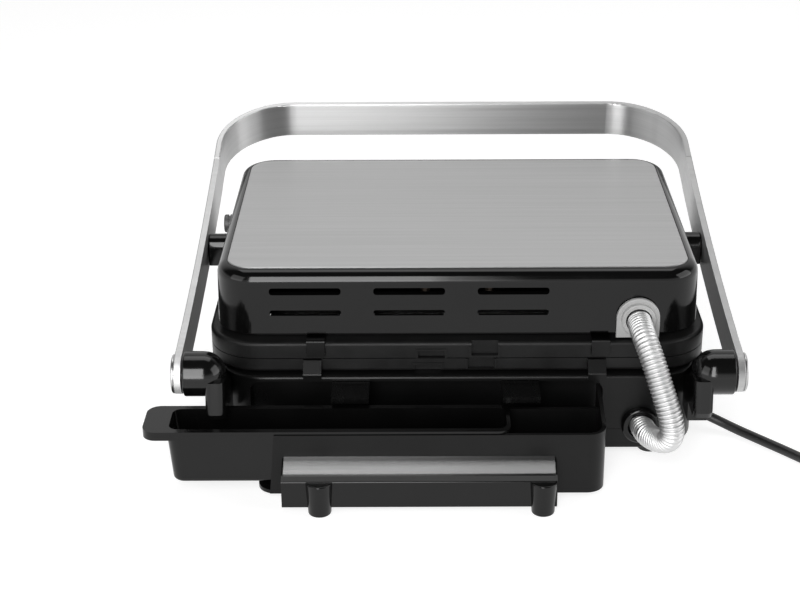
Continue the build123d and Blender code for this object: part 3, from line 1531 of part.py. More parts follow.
with BuildPart() as lid_screws:
    for x, y in LID_SCREW_SPOTS:
        add(rod_z(FRAME_Z + 0.5, FRAME_Z + 2.6, x, y, SCREW_HEAD_R))
        add(rod_z(FRAME_Z + 2.6, PLUG_TOP_Z + 14, x, y, SCREW_R))
lid_screws.part.label = "lid_screws"
export_step(lid_screws.part, "parts/lid_screws.step")

with BuildPart() as upper_release_button:
    add(push_button(LID_HALF_D, UPPER_BUTTON_Z, LID_WALL + 0.3))
upper_release_button.part.label = "upper_release_button"
export_step(upper_release_button.part, "parts/upper_release_button.step")

# Sliding lid lock on the left flank: grooved knob, stem through the slot, keeper disc inside
with BuildPart() as lid_lock_knob:
    add(rod_x(LID_HALF_W + SEAT_GAP, LID_HALF_W + LOCK_H, LOCK_Y, LOCK_Z, LOCK_R))
    fillet(lid_lock_knob.faces().sort_by(Axis.X)[-1].edges(), 1.2)
    with BuildSketch(side(LID_HALF_W + 4)):
        with Locations((LOCK_Y, LOCK_Z)):
            Circle(LOCK_R + 1)
            Circle(LOCK_R - 1.0, mode=Mode.SUBTRACT)
    extrude(amount=1.4, mode=Mode.SUBTRACT)
    add(rod_x(SLOT_INNER_X - 2, LID_HALF_W + 1, LOCK_Y, LOCK_Z, SHAFT_R))
    add(rod_x(SLOT_INNER_X - 3.4, SLOT_INNER_X - 1, LOCK_Y, LOCK_Z, SHAFT_R + 2))
lid_lock_knob.part.label = "lid_lock_knob"
export_step(lid_lock_knob.part, "parts/lid_lock_knob.step")

# Glands of the conduit
HOSE_HOLE_R = HOSE_R + 0.6
with BuildPart() as lid_gland:
    with BuildSketch(upright(LID_HALF_D + SEAT_GAP + LID_GLAND_T)):
        with Locations((HOSE_LID_X, HOSE_LID_Z)):
            Circle(LID_GLAND_R)
        with Locations((HOSE_LID_X, between(LID_GLAND_FLAT_Z, HOSE_LID_Z))):
            Rectangle(2 * LID_GLAND_R, HOSE_LID_Z - LID_GLAND_FLAT_Z)
    extrude(amount=LID_GLAND_T)
    fillet(lid_gland.faces().sort_by(Axis.Y)[-1].edges(), 0.8)
    add(
        rod_y(
            LID_HALF_D + SEAT_GAP + LID_GLAND_T - 0.5,
            LID_HALF_D + SEAT_GAP + LID_GLAND_T + LID_COLLAR_H,
            HOSE_LID_X,
            HOSE_LID_Z,
            LID_COLLAR_R,
        )
    )
    fillet(lid_gland.faces().sort_by(Axis.Y)[-1].edges(), 0.8)
    add(
        rod_y(LID_HALF_D, LID_HALF_D + 10, HOSE_LID_X, HOSE_LID_Z, HOSE_HOLE_R),
        mode=Mode.SUBTRACT,
    )
lid_gland.part.label = "lid_gland"
export_step(lid_gland.part, "parts/lid_gland.step")

with BuildPart() as base_gland:
    add(
        rod_y(
            BASE_REAR + SEAT_GAP,
            BASE_REAR + SEAT_GAP + BASE_GLAND_T,
            HOSE_BASE_X,
            HOSE_BASE_Z,
            BASE_GLAND_R,
        )
    )
    fillet(base_gland.faces().sort_by(Axis.Y)[-1].edges(), 2.0)
    add(
        rod_y(BASE_REAR, BASE_REAR + 10, HOSE_BASE_X, HOSE_BASE_Z, HOSE_HOLE_R),
        mode=Mode.SUBTRACT,
    )
base_gland.part.label = "base_gland"
export_step(base_gland.part, "parts/base_gland.step")


def corner_radii(points):
    """Radius at each corner: 0.45 of the shorter run over the tangent of half the turn."""
    vectors = [Vector(*p) for p in points]
    radii = []
    for before, here, after in zip(vectors, vectors[1:], vectors[2:]):
        turn = (here - before).get_angle(after - here)
        run = min((here - before).length, (after - here).length)
        radii.append(0.45 * run / math.tan(math.radians(turn / 2)))
    return radii


def section_plane(point, direction):
    """Plane across a tube whose x axis stays as near the grill's x axis as it can."""
    tangent = Vector(*direction).normalized()
    x_axis = Vector(1, 0, 0) - tangent * tangent.X
    return Plane(origin=point, x_dir=x_axis.normalized(), z_dir=tangent)


# Ribbed conduit that carries the lid's wiring, from the lid's gland round to the base's
HOSE_ROUTE = [
    spot(HOSE_LID_X, LID_HALF_D - 9.0, HOSE_LID_Z),
    spot(HOSE_LID_X, LID_HALF_D + 21.0, HOSE_LID_Z),
    spot(-125.5, BASE_REAR + 24.0, 91.0),
    spot(-132.5, BASE_REAR + 35.5, 71.0),
    spot(-139.6, BASE_REAR + 43.5, 49.5),
    spot(-140.0, BASE_REAR + 40.0, 34.5),
    spot(-132.0, BASE_REAR + 24.5, HOSE_BASE_Z),
    spot(HOSE_BASE_X, BASE_REAR + 8.5, HOSE_BASE_Z),
    spot(HOSE_BASE_X, BASE_REAR - 20.0, HOSE_BASE_Z),
]
HOSE_PLAIN_END = 2 * HOSE_R
hose_radii = corner_radii(HOSE_ROUTE)
print("conduit arc radii", [round(r, 1) for r in hose_radii])
with BuildPart() as conduit:
    with BuildLine() as hose_line:
        FilletPolyline(*HOSE_ROUTE, radius=hose_radii)
    hose_path = hose_line.wires()[0]
    rib_count = int((hose_path.length - 2 * HOSE_PLAIN_END) / RIB_PITCH)
    stations = [(0.0, HOSE_VALLEY_R)]
    for rib in range(rib_count):
        start = HOSE_PLAIN_END + rib * RIB_PITCH
        stations.append((start, HOSE_VALLEY_R))
        stations.append((start + 0.25 * RIB_PITCH, HOSE_R))
        stations.append((start + 0.6 * RIB_PITCH, HOSE_R))
        stations.append((start + 0.85 * RIB_PITCH, HOSE_VALLEY_R))
    stations.append((hose_path.length, HOSE_VALLEY_R))
    for distance, radius in stations:
        share = distance / hose_path.length
        with BuildSketch(section_plane(hose_path @ share, hose_path % share)):
            Circle(radius)
    loft(ruled=True)
    with BuildSketch(section_plane(hose_path @ 0, hose_path % 0)):
        Circle(HOSE_BORE_R)
    sweep(path=hose_path, mode=Mode.SUBTRACT)
conduit.part.label = "conduit"
export_step(conduit.part, "parts/conduit.step")
print("conduit length", round(hose_path.length, 1), "ribs", rib_count)

# Strain relief boot of the mains cord
CORD_ROUTE = [
    spot(-172.0, 85.95, 12.43),
    spot(-184.5, 89.5, 7.6),
    spot(-196.0, 97.0, 4.6),
    spot(-210.0, 110.0, 3.6),
    spot(-227.0, 128.0, 3.45),
    spot(-244.0, 147.5, 3.45),
]
boot_tip = Vector(*CORD_ROUTE[0])
boot_wall = Vector(*spot(-BASE_HALF_W, CORD_EXIT_Y, CORD_EXIT_Z))
boot_axis = (boot_tip - boot_wall).normalized()
with BuildPart() as cord_gland:
    with BuildSketch(section_plane(boot_wall - boot_axis * 4, boot_axis)):
        Circle(BOOT_R)
    with BuildSketch(section_plane(boot_tip, boot_axis)):
        Circle(BOOT_TIP_R)
    loft()
    for rib in range(BOOT_RIBS):
        place = boot_wall + boot_axis * BOOT_RIB_STEP * (rib + 0.5)
        with BuildSketch(section_plane(place, boot_axis)):
            Circle(BOOT_R + 0.6 - 0.2 * rib)
        extrude(amount=BOOT_RIB_STEP / 2)
cord_gland.part.label = "cord_gland"
export_step(cord_gland.part, "parts/cord_gland.step")


def coil_point(turn_deg):
    """Point of the coil's line: in for the lower layer, a climb, out again on the upper one."""
    inward = 360 * COIL_TURNS
    inner_r = COIL_OUTER_R - COIL_STEP * COIL_TURNS
    if turn_deg <= inward:
        radius = COIL_OUTER_R - COIL_STEP * turn_deg / 360
        height = COIL_Z
    elif turn_deg <= inward + 180:
        share = (turn_deg - inward) / 180
        radius = inner_r - COIL_STEP / (2 * math.pi) * math.sin(math.pi * share)
        height = COIL_Z + COIL_STEP * share * share * (3 - 2 * share)
    else:
        radius = inner_r + COIL_STEP * (turn_deg - inward - 180) / 360
        height = COIL_Z + COIL_STEP
    angle = math.radians(COIL_START_DEG + turn_deg)
    x = COIL_CENTRE[0] + radius * math.cos(angle)
    y = COIL_CENTRE[1] + radius * math.sin(angle)
    return Vector(*spot(x, y, height))


def coil_heading(turn_deg):
    """Unit tangent of the coil's line."""
    step = 0.01
    last = 720 * COIL_TURNS + 180
    low = max(turn_deg - step, 0)
    high = min(turn_deg + step, last)
    return (coil_point(high) - coil_point(low)).normalized()


def add_biarc(start, start_heading, end, end_heading):
    """Two tangent arcs between two points with given headings."""
    chord = end - start
    both = start_heading + end_heading
    spread = 2 * (1 - start_heading.dot(end_heading))
    along = chord.dot(both)
    reach = (math.sqrt(along * along + spread * chord.dot(chord)) - along) / spread
    first_control = start + start_heading * reach
    second_control = end - end_heading * reach
    joint = (first_control + second_control) * 0.5
    TangentArc(start, joint, tangent=start_heading)
    TangentArc(joint, end, tangent=second_control - first_control)


# Spare cord wound in a round coil of two layers
COIL_END_DEG = 720 * COIL_TURNS + 180
coil_start = coil_point(0) - coil_heading(0) * COIL_LEAD
coil_end = coil_point(COIL_END_DEG) + coil_heading(COIL_END_DEG) * COIL_LEAD
with BuildPart() as cord_coil:
    with BuildLine() as coil_line:
        Line(coil_start, coil_point(0))
        for turn_deg in range(0, COIL_END_DEG, 90):
            add_biarc(
                coil_point(turn_deg),
                coil_heading(turn_deg),
                coil_point(turn_deg + 90),
                coil_heading(turn_deg + 90),
            )
        Line(coil_point(COIL_END_DEG), coil_end)
    coil_path = coil_line.wires()[0]
    with BuildSketch(Plane(origin=coil_start, z_dir=coil_heading(0))):
        Circle(CORD_R)
    sweep(path=coil_path)
cord_coil.part.label = "cord_coil"
export_step(cord_coil.part, "parts/cord_coil.step")

coil_samples = [coil_path @ (i / 400) for i in range(401)]
sample_step = coil_path.length / 400
clear_steps = int(8 * CORD_R / sample_step)
coil_gap = min(
    (coil_samples[i] - coil_samples[j]).length
    for i in range(401)
    for j in range(i + clear_steps, 401)
)
print("coil least self gap", round(coil_gap - 2 * CORD_R, 2), "length", round(coil_path.length, 1))


def cord_tube(points, name):
    """Tube of the cord along straight runs joined by arcs, with its radii printed."""
    radii = corner_radii(points)
    with BuildPart() as made:
        with BuildLine() as line:
            FilletPolyline(*points, radius=radii)
        heading = Vector(*points[1]) - Vector(*points[0])
        with BuildSketch(Plane(origin=points[0], z_dir=heading)):
            Circle(CORD_R)
        sweep()
    length = line.wires()[0].length
    ratio = made.part.volume / (math.pi * CORD_R**2 * length)
    print(name, "length", round(length, 1), "volume ratio", round(ratio, 4))
    print(name, "arc radii", [round(r, 1) for r in radii])
    return made.part


# Mains cord from the boot along the table to the coil
CORD_END_GAP = 0.2
cord_start = boot_tip + boot_axis * CORD_END_GAP
cord_join = coil_start - coil_heading(0) * CORD_END_GAP
with BuildPart() as mains_cord:
    add(cord_tube([cord_start, *CORD_ROUTE[1:], cord_join], "mains_cord"))
mains_cord.part.label = "mains_cord"
export_step(mains_cord.part, "parts/mains_cord.step")

# Tail from the coil to the plug, which lies on the table beside it
PLUG_BACK = Vector(*spot(-311.3, 66.5, PLUG_R + 0.2))
TAIL_ROUTE = [
    coil_end + coil_heading(COIL_END_DEG) * CORD_END_GAP,
    coil_end + coil_heading(COIL_END_DEG) * 14,
    Vector(*spot(-311.8, 80.5, PLUG_R + 0.2)),
    PLUG_BACK,
]
with BuildPart() as cord_tail:
    add(cord_tube(TAIL_ROUTE, "cord_tail"))
cord_tail.part.label = "cord_tail"
export_step(cord_tail.part, "parts/cord_tail.step")

plug_run = TAIL_ROUTE[3] - TAIL_ROUTE[2]
plug_axis = plug_run.normalized()
plug_plane = section_plane(PLUG_BACK + plug_axis * CORD_END_GAP, plug_axis)
with BuildPart() as plug_body:
    with BuildSketch(plug_plane):
        Circle(CORD_R + 2.2)
    with BuildSketch(plug_plane.offset(PLUG_L * 0.45)):
        Circle(PLUG_R * 0.62)
    with BuildSketch(plug_plane.offset(PLUG_L * 0.7)):
        Circle(PLUG_R)
    with BuildSketch(plug_plane.offset(PLUG_L)):
        Circle(PLUG_R)
    loft(ruled=True)
    fillet(plug_body.edges().filter_by(GeomType.CIRCLE).sort_by(SortBy.RADIUS)[-2:], 1.5)
    with BuildSketch(plug_plane.offset(PLUG_L - 8)):
        with Locations((-PIN_SPREAD, 0), (PIN_SPREAD, 0)):
            Circle(PIN_R + RUN_GAP)
    extrude(amount=10, mode=Mode.SUBTRACT)
plug_body.part.label = "plug_body"
export_step(plug_body.part, "parts/plug_body.step")

with BuildPart() as plug_pins:
    with BuildSketch(plug_plane.offset(PLUG_L - 7.5)):
        with Locations((-PIN_SPREAD, 0), (PIN_SPREAD, 0)):
            Circle(PIN_R)
    extrude(amount=7.5 + PIN_L)
    fillet(plug_pins.edges().filter_by(GeomType.CIRCLE).group_by(Axis.Y)[0], 1.2)
plug_pins.part.label = "plug_pins"
export_step(plug_pins.part, "parts/plug_pins.step")

# Strap tie round the coil, a quarter turn before the coil's start
TIE_TURN_DEG = 270
TIE_W = 9.0
tie_low_r = COIL_OUTER_R - COIL_STEP * (TIE_TURN_DEG / 360 + 1) - CORD_R - 0.6
tie_high_r = COIL_OUTER_R - COIL_STEP * TIE_TURN_DEG / 360 + CORD_R + 0.6
tie_angle = math.radians(COIL_START_DEG + TIE_TURN_DEG)
tie_plane = Plane(
    origin=spot(*COIL_CENTRE, 0),
    x_dir=(math.cos(tie_angle), math.sin(tie_angle), 0),
    z_dir=(math.sin(tie_angle), -math.cos(tie_angle), 0),
)
TIE_LOW_Z = COIL_Z - CORD_R - 0.1
TIE_HIGH_Z = COIL_Z + COIL_STEP + CORD_R + 0.1
with BuildPart() as cord_tie:
    with BuildSketch(tie_plane.offset(-TIE_W / 2)):
        with Locations((between(tie_low_r, tie_high_r), between(TIE_LOW_Z, TIE_HIGH_Z))):
            RectangleRounded(
                tie_high_r - tie_low_r + 2 * TIE_T, TIE_HIGH_Z - TIE_LOW_Z + 2 * TIE_T, 3.4
            )
            RectangleRounded(
                tie_high_r - tie_low_r, TIE_HIGH_Z - TIE_LOW_Z, 2.6, mode=Mode.SUBTRACT
            )
    extrude(amount=TIE_W)
cord_tie.part.label = "cord_tie"
export_step(cord_tie.part, "parts/cord_tie.step")
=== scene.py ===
import math
from itertools import accumulate

import bmesh
import bpy
from mathutils import Matrix, Vector


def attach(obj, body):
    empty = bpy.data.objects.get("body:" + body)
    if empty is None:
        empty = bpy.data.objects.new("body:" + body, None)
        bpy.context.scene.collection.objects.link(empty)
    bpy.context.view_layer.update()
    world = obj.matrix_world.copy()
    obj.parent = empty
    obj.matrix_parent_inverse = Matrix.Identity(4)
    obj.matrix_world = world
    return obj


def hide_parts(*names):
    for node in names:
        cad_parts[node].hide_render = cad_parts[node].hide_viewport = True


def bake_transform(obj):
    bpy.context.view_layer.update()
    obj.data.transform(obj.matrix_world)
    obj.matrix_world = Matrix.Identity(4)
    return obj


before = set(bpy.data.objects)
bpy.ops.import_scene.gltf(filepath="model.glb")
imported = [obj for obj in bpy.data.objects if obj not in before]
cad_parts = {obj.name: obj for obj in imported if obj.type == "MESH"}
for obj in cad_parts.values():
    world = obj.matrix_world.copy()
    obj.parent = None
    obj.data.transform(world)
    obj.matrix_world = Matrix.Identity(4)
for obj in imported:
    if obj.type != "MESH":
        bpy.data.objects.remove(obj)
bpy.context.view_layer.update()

# The grill's own middle in the row's frame, in millimetres, as in the part's source
MID_X = -9.15
MID_Y = -7.594
MM = 0.001

# Camera of the photograph
CAMERA_SPOT = (22.9, 1150.0, 585.0)
CAMERA_PITCH_DEG = 24.5
CAMERA_ROLL_DEG = -0.2
CAMERA_REACH_M = 50.0
FOCAL_PX = 1700.0
IMAGE_W_PX = 800.0
PRINCIPAL_X_PX = 424.0
SENSOR_MM = 36.0

# Slopes of the handle's strap and of the arms
STRAP_SLOPE_DEG = 14.5
ARM_SLOPE_DEG = 10.0

# Smoothness of spline curves along and around them, and the shortest last step of a line that is
# divided evenly, as a share of its step
CURVE_STEPS = 12
CURVE_ROUNDING = 6
LAST_STEP_SHARE = 0.3

# Conduit
HOSE_R = 8.2
HOSE_VALLEY_R = 6.9
HOSE_BORE_R = 6.2
HOSE_PITCH = 2.7
HOSE_RIB_POWER = 0.4
HOSE_SIDES = 48
HOSE_STEPS = 12
HOSE_PLAIN_END = 14.0
HOSE_ROUTE = [
    (-121.0, 106.0, 100.0),
    (-121.0, 136.0, 100.0),
    (-125.5, 152.0, 91.0),
    (-132.5, 163.5, 71.0),
    (-139.6, 171.5, 49.5),
    (-140.0, 168.0, 34.5),
    (-132.0, 152.5, 26.0),
    (-124.3, 136.5, 26.0),
    (-124.3, 108.0, 26.0),
]

# Where the conduit's end in the lid meets the rest of it
HOSE_SEAM_Y = 137.0

# Mains cord
CORD_R = 3.4
CORD_ROUTE = [
    (-172.0, 85.95, 12.43),
    (-184.5, 89.5, 7.6),
    (-196.0, 97.0, 4.6),
    (-210.0, 110.0, 3.6),
    (-227.0, 128.0, 3.45),
    (-244.0, 147.5, 3.45),
]
TAIL_ROUTE = [(-311.8, 80.5, 17.6), (-311.3, 66.5, 17.6)]
TAIL_LEAD = 20.8
COIL_STEP = 7.3
COIL_OUTER_R = 44.8
COIL_TURNS = 2
COIL_CENTRE = (-296.0, 139.0)
COIL_START_DEG = 40.5
COIL_Z = 4.35
COIL_LEAD = 6.8
COIL_POINT_DEG = 15

# Backdrop: its levels overhead and on the grill's front side, the Z and the Y of a direction over
# which they fade, and the share of it that lights matt surfaces
CEILING_LEVEL = 0.05
FRONT_LEVEL = 0.80
LOW_FADE = (0.10, 0.40)
FRONT_FADE = (-0.75, -0.2)
AMBIENT_SHARE = 0.25

# Floor
FLOOR_HALF_M = 6.0
FLOOR_ALBEDO = 0.45
FLOOR_GLOW = 0.78

# Lamps as name, place, target, size and power, in metres and watts
LAMPS = [
    ("key", (0.41, 2.6, 1.45), (0.31, 0.0, 1.1), (0.88, 2.7), 64.0),
    ("key_edge", (-0.10, 2.6, 1.45), (-0.09, 0.0, 1.1), (0.12, 2.7), 2.2),
    ("side_left", (1.75, 1.35, 0.95), (0.0, 0.0, 0.3), (1.6, 1.7), 15.0),
    ("side_right", (-2.05, 0.55, 1.0), (0.0, 0.0, 0.3), (1.8, 1.6), 20.0),
    ("top", (0.0, -0.6, 1.9), (0.0, 0.0, 0.1), (1.6, 0.9), 9.0),
]

# Sockets of a colour mix
MIX_FACTOR = 0
MIX_A = 6
MIX_B = 7
MIX_RESULT = 2

# Share of a place's Y in the distance along brushed lines, and how streaks compare with lines
BRUSH_Y_SHARE = 0.9
STREAK_LENGTH_SHARE = 0.35
STREAK_WIDTH_SHARE = 0.12


def spot(x, y, z):
    """A point of the grill, in millimetres from its own middle, in the row's frame in metres."""
    return Vector((x + MID_X, y + MID_Y, z)) * MM


def linked(name, data):
    """New object of the scene that shows the data."""
    made = bpy.data.objects.new(name, data)
    bpy.context.scene.collection.objects.link(made)
    return made


def make_camera():
    """Camera at the photograph's viewing place."""
    data = bpy.data.cameras.new("camera")
    data.sensor_width = SENSOR_MM
    data.lens = FOCAL_PX / IMAGE_W_PX * SENSOR_MM
    data.shift_x = (IMAGE_W_PX / 2 - PRINCIPAL_X_PX) / IMAGE_W_PX
    data.clip_end = CAMERA_REACH_M
    camera = linked("camera", data)
    turn = (
        Matrix.Rotation(math.pi, 4, "Z")
        @ Matrix.Rotation(math.radians(90 - CAMERA_PITCH_DEG), 4, "X")
        @ Matrix.Rotation(math.radians(CAMERA_ROLL_DEG), 4, "Z")
    )
    camera.matrix_world = Matrix.Translation(spot(*CAMERA_SPOT)) @ turn
    bpy.context.scene.camera = camera


class Nodes:
    """Short helper round one material's or the world's node tree."""

    def __init__(self, tree):
        self.tree = tree
        self.tree.nodes.clear()

    def add(self, kind, **values):
        """New node with values for its inputs or settings."""
        node = self.tree.nodes.new(kind)
        for key, value in values.items():
            if key in node.inputs:
                self.put(node, key, value)
            else:
                setattr(node, key, value)
        return node

    def put(self, node, name, value):
        """Links a socket to an input, or sets the input's constant."""
        if isinstance(value, bpy.types.NodeSocket):
            self.tree.links.new(value, node.inputs[name])
        else:
            node.inputs[name].default_value = value

    def finish(self, kind, shader):
        """Output node fed by a shader's first output."""
        output = self.add(kind)
        self.tree.links.new(shader.outputs[0], output.inputs["Surface"])

    def math(self, operation, a, b):
        """One sum, product or the like of two values."""
        node = self.add("ShaderNodeMath", operation=operation)
        self.put(node, 0, a)
        self.put(node, 1, b)
        return node.outputs[0]

    def ramp(self, value, low, high, to_low, to_high, smooth=False):
        """value from low..high to to_low..to_high, clamped."""
        node = self.add("ShaderNodeMapRange")
        if smooth:
            node.interpolation_type = "SMOOTHSTEP"
        self.put(node, "Value", value)
        self.put(node, "From Min", low)
        self.put(node, "From Max", high)
        self.put(node, "To Min", to_low)
        self.put(node, "To Max", to_high)
        return node.outputs[0]

    def mix(self, factor, a, b):
        """Colour mix."""
        node = self.add("ShaderNodeMix", data_type="RGBA")
        self.put(node, MIX_FACTOR, factor)
        self.put(node, MIX_A, a)
        self.put(node, MIX_B, b)
        return node.outputs[MIX_RESULT]

    def noise(self, coordinates, scale, detail=3.0, roughness=0.5):
        """Noise over the coordinates."""
        node = self.add(
            "ShaderNodeTexNoise", Vector=coordinates, Scale=scale, Detail=detail, Roughness=roughness
        )
        return node.outputs[0]

    def bump(self, height, strength, distance, under=None):
        """Bump normal from a height."""
        node = self.add("ShaderNodeBump", Height=height, Strength=strength, Distance=distance)
        if under is not None:
            self.put(node, "Normal", under)
        return node.outputs[0]

    def principled(self, color, roughness, normal, **settings):
        """Principled shader with constants on its own sockets, and the material's output."""
        shader = self.add("ShaderNodeBsdfPrincipled")
        self.put(shader, "Base Color", color)
        self.put(shader, "Roughness", roughness)
        self.put(shader, "Normal", normal)
        for name, value in settings.items():
            self.put(shader, name.replace("_", " "), value)
        self.finish("ShaderNodeOutputMaterial", shader)


def grey(value):
    """Neutral colour."""
    return (value, value, value, 1.0)


def tinted(color, factor):
    """Colour times a factor, not over white."""
    return tuple(min(1.0, c * factor) for c in color[:3]) + (1.0,)


def start_material(name):
    """New material with its node helper and its object coordinates in metres."""
    made = bpy.data.materials.new(name)
    made.use_nodes = True
    nodes = Nodes(made.node_tree)
    place = nodes.add("ShaderNodeTexCoord").outputs["Object"]
    return made, nodes, place


def moulded(name, color, rough, grain, grain_strength, **settings):
    """Moulded plastic: fine spark texture, slow waviness, cloudy gloss and faint handling marks."""
    made, nodes, place = start_material(name)
    clouds = nodes.noise(place, scale=22.0, detail=4.0)
    marks = nodes.noise(place, scale=160.0, detail=6.0, roughness=0.7)
    grains = nodes.noise(place, scale=grain, detail=2.0)
    waves = nodes.noise(place, scale=30.0, detail=1.0)
    tone = nodes.ramp(clouds, 0.35, 0.65, 0.0, 1.0)
    base = nodes.mix(tone, tinted(color, 0.86), tinted(color, 1.16))
    cloudy = nodes.ramp(clouds, 0.3, 0.7, *rough)
    marked = nodes.math("ADD", cloudy, nodes.ramp(marks, 0.58, 0.75, 0.0, 0.06))
    fine = nodes.bump(grains, strength=grain_strength, distance=0.00006)
    wavy = nodes.bump(waves, strength=0.05, distance=0.0006, under=fine)
    nodes.principled(base, marked, wavy, **settings)
    return made


def lined_noise(nodes, along, across, detail):
    """Noise drawn out along one of two distances."""
    place = nodes.add("ShaderNodeCombineXYZ", X=along, Y=across)
    return nodes.noise(place.outputs[0], scale=1.0, detail=detail, roughness=0.6)


def brushed(name, color, rough, across, along_scale=7.0, line_scale=2600.0, depth=0.3, spread=0.0):
    """Brushed metal: lines run square to the direction across, with long faint streaks."""
    made, nodes, place = start_material(name)
    turn = nodes.add("ShaderNodeVectorMath", operation="DOT_PRODUCT")
    nodes.put(turn, 0, place)
    nodes.put(turn, 1, across)
    cross = turn.outputs["Value"]
    split = nodes.add("ShaderNodeSeparateXYZ", Vector=place)
    sideways = nodes.math("MULTIPLY", split.outputs["Y"], BRUSH_Y_SHARE)
    lengthwise = nodes.math("ADD", split.outputs["X"], sideways)
    lines = lined_noise(
        nodes,
        nodes.math("MULTIPLY", lengthwise, along_scale),
        nodes.math("MULTIPLY", cross, line_scale),
        detail=3.0,
    )
    streaks = lined_noise(
        nodes,
        nodes.math("MULTIPLY", lengthwise, along_scale * STREAK_LENGTH_SHARE),
        nodes.math("MULTIPLY", cross, line_scale * STREAK_WIDTH_SHARE),
        detail=4.0,
    )
    tone = nodes.ramp(nodes.math("ADD", lines, streaks), 0.7, 1.3, 0.0, 1.0)
    base = nodes.mix(tone, tinted(color, 0.90), tinted(color, 1.09))
    roughness = nodes.ramp(streaks, 0.3, 0.7, rough - 0.02, rough + 0.03)
    normal = nodes.bump(lines, strength=depth, distance=0.00004)
    tangent = nodes.add("ShaderNodeCombineXYZ", X=across[0], Y=across[1], Z=across[2])
    nodes.principled(
        base, roughness, normal, Metallic=1.0, Anisotropic=spread, Tangent=tangent.outputs[0]
    )
    return made


def speckled(name, color, fleck, rough, **settings):
    """Non-stick coating: fine flecks and a sandy bump."""
    made, nodes, place = start_material(name)
    grains = nodes.noise(place, scale=2400.0, detail=2.0)
    patches = nodes.noise(place, scale=60.0, detail=4.0)
    flecks = nodes.ramp(grains, 0.62, 0.72, 0.0, 1.0)
    patched = nodes.ramp(patches, 0.3, 0.7, 0.0, 1.0)
    base = nodes.mix(patched, tinted(color, 0.8), tinted(color, 1.2))
    base = nodes.mix(nodes.math("MULTIPLY", flecks, 0.35), base, fleck)
    roughness = nodes.ramp(patches, 0.3, 0.7, rough - 0.06, rough + 0.08)
    normal = nodes.bump(grains, strength=0.25, distance=0.00008)
    nodes.principled(base, roughness, normal, **settings)
    return made


def tinted_steel(name, cool, hot, rough):
    """Steel sheath with heat tints along it."""
    made, nodes, place = start_material(name)
    bands = nodes.noise(place, scale=28.0, detail=5.0, roughness=0.6)
    grains = nodes.noise(place, scale=900.0, detail=3.0)
    base = nodes.mix(nodes.ramp(bands, 0.42, 0.6, 0.0, 1.0), cool, hot)
    roughness = nodes.ramp(grains, 0.3, 0.7, rough - 0.08, rough + 0.1)
    normal = nodes.bump(grains, strength=0.15, distance=0.00005)
    nodes.principled(base, roughness, normal, Metallic=1.0)
    return made


def lens_material():
    """Amber lens with a faint moulded pattern."""
    made, nodes, place = start_material("amber_lens")
    cells = nodes.add("ShaderNodeTexVoronoi", Vector=place, Scale=900.0)
    depth = cells.outputs["Distance"]
    shade = nodes.ramp(depth, 0.0, 0.6, 0.0, 1.0)
    color = nodes.mix(shade, (0.9, 0.36, 0.05, 1), (0.7, 0.2, 0.02, 1))
    roughness = nodes.ramp(depth, 0.0, 1.0, 0.12, 0.2)
    normal = nodes.bump(depth, strength=0.2, distance=0.0002)
    nodes.principled(color, roughness, normal, Transmission_Weight=0.4)
    return made


def plastics():
    """Moulded finishes as name, colour, roughness from and to, grain, its strength and gloss."""
    soft_grey = (0.40, 0.40, 0.396, 1.0)
    rows = [
        ("lid_gloss", grey(0.003), (0.07, 0.12), 600.0, 0.015, 0.32),
        ("pod_gloss", grey(0.003), (0.09, 0.15), 600.0, 0.02, 0.40),
        ("housing", grey(0.004), (0.26, 0.36), 1500.0, 0.12, 0.22),
        ("tray", grey(0.003), (0.15, 0.22), 1300.0, 0.06, 0.32),
        ("bar", grey(0.003), (0.12, 0.18), 1300.0, 0.05, 0.32),
        ("frame_black", grey(0.005), (0.34, 0.44), 1500.0, 0.14, 0.2),
        ("grey_plastic", grey(0.10), (0.38, 0.48), 1300.0, 0.14, 0.5),
        ("gland_grey", soft_grey, (0.34, 0.42), 1200.0, 0.1, 0.5),
        ("rubber", grey(0.020), (0.55, 0.68), 900.0, 0.3, 0.5),
        ("cord", grey(0.010), (0.36, 0.46), 1100.0, 0.15, 0.5),
    ]
    return {row[0]: moulded(*row[:5], Specular_IOR_Level=row[5]) for row in rows}


def metals():
    """Brushed and turned finishes as name, colour, roughness, direction across and settings."""
    strap = math.radians(STRAP_SLOPE_DEG)
    arm = math.radians(ARM_SLOPE_DEG)
    across_strap = (0.0, math.sin(strap), math.cos(strap))
    across_arm = (0.0, math.sin(arm), math.cos(arm))
    pin = {"along_scale": 40.0, "line_scale": 900.0, "depth": 0.1}
    screw = {"along_scale": 60.0, "line_scale": 900.0, "depth": 0.1}
    foil = {"along_scale": 12.0, "line_scale": 800.0, "depth": 0.1}
    hose = {"along_scale": 60.0, "line_scale": 700.0, "depth": 0.08}
    rows = [
        ("panel", grey(0.46), 0.42, (0.0, 1.0, 0.35), {"depth": 0.25, "spread": 0.6}),
        ("strip", grey(0.52), 0.20, (0.0, 0.7, -0.7), {"depth": 0.08, "spread": 1.0}),
        ("handle", grey(0.52), 0.36, across_strap, {"spread": 1.0}),
        ("arm", grey(0.52), 0.42, across_arm, {"spread": 0.9}),
        # The spouts' sheet colour is painted shade: nearly black so that it stands in for the shadow
        # in the base's rear recess.
        ("sheet", grey(0.035), 0.26, (1.0, 0.2, 0.2), {"depth": 0.15}),
        ("clip", grey(0.022), 0.34, (0.0, 0.2, 1.0), {"depth": 0.15}),
        ("pin", grey(0.52), 0.30, (1.0, 0.0, 0.0), pin),
        ("screw", grey(0.30), 0.34, (0.5, 0.7, 0.5), screw),
        ("reflector", grey(0.72), 0.18, (0.3, 1.0, 0.0), foil),
        ("conduit", grey(0.64), 0.46, (0.3, 0.2, 1.0), hose),
    ]
    return {row[0]: brushed(*row[:4], **row[4]) for row in rows}


